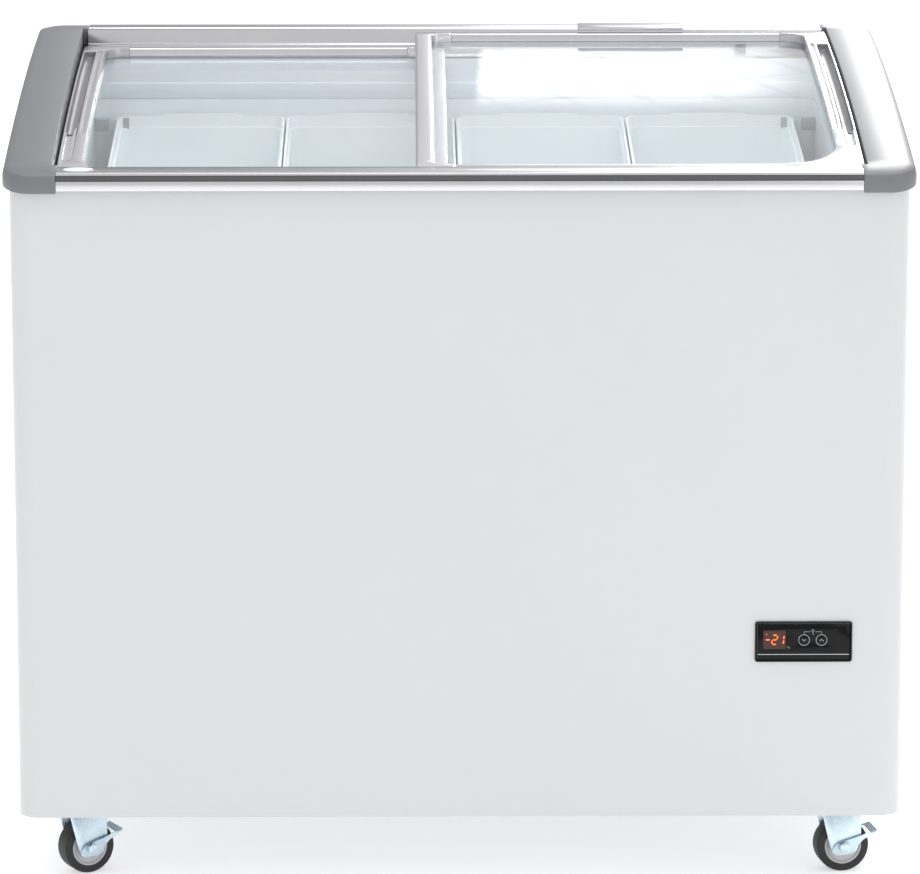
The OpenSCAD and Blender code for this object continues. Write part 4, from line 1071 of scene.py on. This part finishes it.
printed = []
key_places = []
for node, up in (("key_down", -1), ("key_up", 1)):
    low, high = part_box(node)
    x = (low.x + high.x) / 2
    key_places.append(x)
    printed.append(ring(x, key_z, 6.3 * MM, 0.5 * MM))
    arrow = [bar(x - 2.1 * MM, key_z - up * 0.9 * MM, x, key_z + up * 0.9 * MM, 0.6 * MM),
             bar(x, key_z + up * 0.9 * MM, x + 2.1 * MM, key_z - up * 0.9 * MM, 0.6 * MM)]
    fit(join(node + "_arrow", arrow), body_of[node], ink, slot_of[node])
left_key, right_key = key_places
link_z = key_z + 9.5 * MM
middle = (left_key + right_key) / 2
printed += [bar(left_key, key_z + 6.7 * MM, left_key, link_z, 0.35 * MM),
            bar(left_key, link_z, middle - 2.4 * MM, link_z, 0.35 * MM),
            bar(middle + 2.4 * MM, link_z, right_key, link_z, 0.35 * MM),
            bar(right_key, link_z, right_key, key_z + 6.7 * MM, 0.35 * MM),
            ring(middle, link_z + 1.2 * MM, 1.3 * MM, 0.4 * MM),
            bar(middle, link_z, middle, link_z - 3.2 * MM, 0.45 * MM),
            bar(middle, link_z - 2.9 * MM, middle + 1.1 * MM, link_z - 2.9 * MM, 0.4 * MM)]
degree_x = window_x + 15.5 * MM
printed += [ring(degree_x - 0.9 * MM, window_z - 8.2 * MM, 0.55 * MM, 0.22 * MM)]
printed += [bar(degree_x + 0.5 * MM, window_z - 9.8 * MM, degree_x + 0.5 * MM, window_z - 8.4 * MM, 0.3 * MM),
            bar(degree_x + 0.5 * MM, window_z - 8.4 * MM, degree_x + 1.6 * MM, window_z - 8.4 * MM, 0.3 * MM),
            bar(degree_x + 0.5 * MM, window_z - 9.8 * MM, degree_x + 1.6 * MM, window_z - 9.8 * MM, 0.3 * MM)]
line_z = lens_low.z + 5.9 * MM
printed += [bar(lens_low.x + 0.5 * MM, line_z, lens_high.x - 0.5 * MM, line_z, 0.9 * MM)]
fit(join("panel_print", printed), "cabinet", ink, "panel_black")
print("panel printed")

# %% [markdown]
# ## Front and rear rails
# Both rails are aluminium extrusions, so each is one cross-section drawn along X. The cross-section is
# made by extruding the edge of a thin strip step by step, which is how its folds are easiest to read.


# %% Extrude the rails' cross-sections
def extrusion(name, x0, x1, path, thickness, round_off=0.5 * MM):
    """Walks one edge of a strip along (y, z) points, gives the sheet a thickness and rounds its folds."""
    bpy.ops.object.select_all(action="DESELECT")
    bpy.ops.mesh.primitive_plane_add(size=1, location=((x0 + x1) / 2, path[0][0], path[0][1]))
    piece = bpy.context.object
    piece.name = piece.data.name = name
    piece.scale = (x1 - x0, 0.0005, 1)
    settle(piece)
    edit(piece)
    pick(piece, "EDGE", lambda c, e: along(e, 0) and c.y > path[0][0])
    bpy.ops.transform.translate(value=(0, path[1][0] - path[0][0] - 0.00025, path[1][1] - path[0][1]))
    for (y0, z0), (y1, z1) in zip(path[1:], path[2:]):
        bpy.ops.mesh.extrude_edges_move(TRANSFORM_OT_translate={"value": (0, y1 - y0, z1 - z0)})
    bpy.ops.mesh.select_all(action="SELECT")
    bpy.ops.mesh.normals_make_consistent(inside=False)
    leave()
    modify(piece, "SOLIDIFY", thickness=thickness, offset=0)
    edit(piece)
    bpy.ops.mesh.select_all(action="SELECT")
    bpy.ops.mesh.normals_make_consistent(inside=False)
    leave()
    soften(piece, round_off, 2, 20)
    return piece


rail_low, rail_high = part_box("front_rail")
strip_low, strip_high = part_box("front_rail_strip")
FRONT_Y = rail_low.y
FLANGE_Z = strip_low.z - 9.8 * MM
STRIP_LOW, STRIP_HIGH = strip_low.z + 0.3 * MM, strip_high.z + 0.7 * MM
TOP_Y, TOP_Z = FRONT_Y + 28 * MM, arc_height(FRONT_Y + 28 * MM, -2.2 * MM)
STEP_Y, END_Y = FRONT_Y + 37.5 * MM, FRONT_Y + 48.3 * MM


def on_arc(y, off):
    """A point of a cross-section that lies off millimetres above the arc."""
    return (y, arc_height(y, off * MM))


front_path = [
    (FRONT_Y + 1.0 * MM, FLANGE_Z), (FRONT_Y + 1.0 * MM, STRIP_LOW),
    (FRONT_Y + 3.4 * MM, STRIP_LOW + 0.4 * MM), (FRONT_Y + 3.4 * MM, STRIP_HIGH - 0.4 * MM),
    (FRONT_Y + 1.4 * MM, STRIP_HIGH), (FRONT_Y + 2.2 * MM, STRIP_HIGH + 1.6 * MM),
    (FRONT_Y + 9 * MM, STRIP_HIGH + 2.9 * MM), (TOP_Y, TOP_Z),
    (TOP_Y + 0.4 * MM, arc_height(TOP_Y, -16.9 * MM)),
    on_arc(STEP_Y, -16.9), on_arc(STEP_Y, -31.9), on_arc(END_Y, -31.9),
]
front = extrusion("front_rail_profile", rail_low.x, rail_high.x, front_path, 1.4 * MM)
fit(front, "cabinet", anodised, "anodised_rail", "front_rail")
strip = new_block("dark_strip", (strip_low.x, FRONT_Y + 1.7 * MM, STRIP_LOW + 0.6 * MM),
                  (strip_high.x, FRONT_Y + 2.8 * MM, STRIP_HIGH - 0.2 * MM))
edit(strip)
pick(strip, "FACE", lambda c, f: f.normal.y < -0.9)
bpy.ops.mesh.inset(thickness=0.7 * MM, depth=0.4 * MM)
leave()
soften(strip, 0.3 * MM, 2)
fit(strip, "cabinet", strip_grey, "dark_strip", "front_rail_strip")

rear_low, rear_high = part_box("rear_rail")
lid_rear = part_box("right_lid_handle_stile")[1].y + 0.8 * MM
rear_path = [
    (rear_high.y - 0.8 * MM, rear_low.z + 16 * MM),
    (rear_high.y - 0.8 * MM, arc_height(rear_high.y, -4 * MM)),
    on_arc(rear_high.y - 4 * MM, -0.8), on_arc(lid_rear + 16 * MM, -0.8), on_arc(lid_rear + 15 * MM, -2.2),
    on_arc(lid_rear + 4.5 * MM, -2.4), on_arc(lid_rear + 3.6 * MM, -0.8), on_arc(lid_rear, -0.8),
    on_arc(lid_rear, -16.8), on_arc(lid_rear - 8.5 * MM, -16.9), on_arc(lid_rear - 8.5 * MM, -31),
    on_arc(lid_rear - 18 * MM, -32.2),
]
rear = extrusion("rear_rail_profile", rear_low.x, rear_high.x, rear_path, 1.2 * MM, 0.4 * MM)
fit(rear, "cabinet", anodised, "anodised_rail", "rear_rail")
print("rails", len(front.data.polygons), len(rear.data.polygons))

# %% [markdown]
# ## Control panel's bezel
# The bezel is a polished black frame round the lens. Its outer corners and its front edge are rounded,
# and the middle is pushed back so that the lens sits inside it.

# %% Frame the lens
bezel_z = (bezel_low.z + bezel_high.z) / 2
bezel = new_block("bezel_frame", bezel_low, bezel_high)
edit(bezel)
pick(bezel, "EDGE", lambda c, e: along(e, 1))
bpy.ops.mesh.bevel(offset=3 * MM, segments=5, profile=0.5)
pick(bezel, "FACE", lambda c, f: f.normal.y < -0.9)
bpy.ops.mesh.inset(thickness=1.3 * MM, depth=0)
pick(bezel, "FACE", lambda c, f: f.normal.y < -0.9 and abs(c.x - panel_x) < 1 * MM
     and abs(c.z - bezel_z) < 1 * MM)
bpy.ops.mesh.inset(thickness=1.4 * MM, depth=-2.5 * MM)
pick(bezel, "EDGE", lambda c, e: abs(c.y - bezel_low.y) < 0.01 * MM
     and any(abs(f.normal.y) < 0.1 for f in e.link_faces)
     and (abs(c.x - panel_x) > (bezel_high.x - bezel_low.x) / 2 - 3.2 * MM or abs(c.z - bezel_z) > 22 * MM))
bpy.ops.mesh.bevel(offset=0.9 * MM, segments=3, profile=0.5)
leave()
smooth(bezel, 50)
fit(bezel, "cabinet", black_abs, slot_of["control_bezel"], "control_bezel")
print("bezel faces", len(bezel.data.polygons))

# %% [markdown]
# ## Casters
# A fork is pressed from one plate: a flat crown with two legs folded down, each narrowing to the axle
# and stiffened by a crease along its rear edge. The pedal is a second, smaller pressing that turns on
# the same bolt. Both are modelled on an axle at the origin, rolling along X, and then placed.

# %% One fork and one pedal
LEG_Y = 13.6 * MM
LEG_T = 2 * MM
swivels = {joint["child"]: joint for joint in frame["joints"] if joint["name"].startswith("swivel_")}
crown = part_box("fork_front_left")[1].z
RISE = crown - WHEEL_R
PEDAL_RISE = 18


def to_leg(piece, sign):
    """Turns a piece made for one leg over to the other leg when sign is negative."""
    if sign < 0:
        for vertex in piece.data.vertices:
            vertex.co.y = -vertex.co.y
        piece.data.flip_normals()
    return piece


def leg(sign):
    """One folded leg, with a crease along its trailing edge."""
    outer_y = LEG_Y + LEG_T
    plate = new_block("leg", (-28 * MM, LEG_Y, -10 * MM), (20 * MM, outer_y, RISE))
    edit(plate)
    for z in (-6 * MM, 8 * MM):
        bpy.ops.mesh.select_all(action="SELECT")
        bpy.ops.mesh.bisect(plane_co=(0, 0, z), plane_no=(0, 0, 1))
    mesh = bmesh.from_edit_mesh(plate.data)
    for vertex in mesh.verts:
        left = vertex.co.x < 0
        if vertex.co.z < -9 * MM:
            vertex.co.x = -9 * MM if left else 8 * MM
        elif vertex.co.z < 0:
            vertex.co.x = -14 * MM if left else 15 * MM
        elif vertex.co.z < 10 * MM:
            vertex.co.x = -18.5 * MM if left else 20 * MM
    bmesh.update_edit_mesh(plate.data)
    bpy.ops.mesh.select_all(action="SELECT")
    bpy.ops.mesh.bisect(plane_co=(-8 * MM, 0, 0), plane_no=(0.94, 0, 0.34))
    bpy.ops.mesh.select_all(action="SELECT")
    bpy.ops.mesh.bisect(plane_co=(-5 * MM, 0, 0), plane_no=(0.94, 0, 0.34))
    mesh = bmesh.from_edit_mesh(plate.data)
    for vertex in mesh.verts:
        if (vertex.co.x + 8 * MM) * 0.94 + vertex.co.z * 0.34 < 0.2 * MM:
            vertex.co.y += 1.5 * MM
    bmesh.update_edit_mesh(plate.data)
    leave()
    return to_leg(plate, sign)


def bolt(y, radius, depth, sides):
    return new_drum("bolt", (0, y, 0), (0, 1, 0), radius, depth, sides)


crown_plate = new_block("crown", (-28 * MM, -LEG_Y - LEG_T, RISE - 3 * MM), (20 * MM, LEG_Y + LEG_T, RISE))
edit(crown_plate)
pick(crown_plate, "FACE", lambda c, f: f.normal.z > 0.9)
bpy.ops.mesh.inset(thickness=5 * MM, depth=-1 * MM)
leave()
NUT_Y = LEG_Y + LEG_T + 4.2 * MM
fork = join("fork", [leg(1), leg(-1), crown_plate, bolt(0, 4 * MM, 2 * (LEG_Y + LEG_T) + 10 * MM, 24),
                     bolt(NUT_Y, 6.5 * MM, 4.4 * MM, 6), bolt(-NUT_Y, 6.5 * MM, 4.4 * MM, 6)])
soften(fork, 0.5 * MM, 2, 30)


def pedal_arm(sign):
    """A cranked arm: broad round the bolt, with a turned-up top edge, narrowing toward the tread."""
    y0 = LEG_Y + LEG_T + 0.4 * MM
    arm = new_block("arm", (-15 * MM, y0, -6.5 * MM), (41 * MM, y0 + 1.4 * MM, 6.5 * MM))
    edit(arm)
    for x in (-8 * MM, 8 * MM, 16 * MM, 24 * MM):
        bpy.ops.mesh.select_all(action="SELECT")
        bpy.ops.mesh.bisect(plane_co=(x, 0, 0), plane_no=(1, 0, 0))
    mesh = bmesh.from_edit_mesh(arm.data)
    for vertex in mesh.verts:
        x, top = vertex.co.x, vertex.co.z > 0
        if x < -10 * MM:
            vertex.co.z = 1.5 * MM if top else -2.5 * MM
        elif x > 30 * MM:
            vertex.co.z = 6.2 * MM if top else 3.4 * MM
        elif x > 20 * MM:
            vertex.co.z = 6 * MM if top else 0.5 * MM
        elif x > 12 * MM:
            vertex.co.z = 6 * MM if top else -3.5 * MM
    bmesh.update_edit_mesh(arm.data)
    pick(arm, "FACE", lambda c, f: f.normal.z > 0.5 and c.x < 20 * MM)
    bpy.ops.mesh.extrude_region_move(TRANSFORM_OT_translate={"value": (0, 2.2 * MM, 0.3 * MM)})
    leave()
    return to_leg(arm, sign)


TREAD_Y = LEG_Y + LEG_T + 1.8 * MM
tread = new_block("tread", (34 * MM, -TREAD_Y, 4.6 * MM), (42 * MM, TREAD_Y, 6.2 * MM))
edit(tread)
pick(tread, "FACE", lambda c, f: f.normal.z > 0.9)
bpy.ops.mesh.inset(thickness=1.2 * MM, depth=-0.4 * MM)
leave()
pedal = join("pedal", [pedal_arm(1), pedal_arm(-1), tread])
soften(pedal, 0.35 * MM, 2, 30)


def placed(source, name, place, body, node):
    return fit(copy_of(source, name, place), body, zinc, slot_of[node], node)


for body, joint in rolls.items():
    corner = body.replace("wheel_", "")
    fork_body = "caster_" + corner
    king = Vector(swivels[fork_body]["pos_m"])
    axle = Vector(joint["pos_m"])
    ahead = Vector((axle.x - king.x, axle.y - king.y, 0)).normalized()
    frame_turn = Matrix((ahead, Vector((0, 0, 1)).cross(ahead), Vector((0, 0, 1)))).transposed().to_4x4()
    place = Matrix.Translation(axle) @ frame_turn
    placed(fork, f"fork_{corner}_pressed", place, fork_body, f"fork_{corner}")
    if corner.startswith("front"):
        side_name = corner.replace("front_", "")
        node = "brake_pedal_" + side_name
        raised = Matrix.Rotation(math.radians(-PEDAL_RISE), 4, "Y")
        placed(pedal, f"pedal_{side_name}_pressed", place @ raised, body_of[node], node)
bpy.data.objects.remove(fork)
bpy.data.objects.remove(pedal)
print("casters placed on", len(swivels), "swivels")

# %% [markdown]
# ## Badge plate
# A small blank oval plate sits near the left end of the front rail. It is a squashed drum with a
# rounded rim, tilted to lie on the rail's sloping top.

# %% The blank badge
badge_x, badge_y = -416 * MM, FRONT_Y + 15.5 * MM
slope = math.atan2(TOP_Z - STRIP_HIGH - 2.9 * MM, TOP_Y - FRONT_Y - 9 * MM)
badge_z = STRIP_HIGH + 2.9 * MM + (badge_y - FRONT_Y - 9 * MM) * math.tan(slope) + 0.9 * MM
badge = new_drum("badge_plate", (0, 0, 0), (0, 0, 1), 16.5 * MM, 0.8 * MM, 48)
badge.data.transform(Matrix.Diagonal((1, 0.52, 1, 1)))
badge.data.transform(Matrix.Translation((badge_x, badge_y, badge_z)) @ Matrix.Rotation(slope, 4, "X"))
soften(badge, 0.25 * MM, 2)
fit(badge, "cabinet", pale_abs, "anodised_rail")
print("badge at", round(badge_x, 3), round(badge_y, 3), round(badge_z, 3))
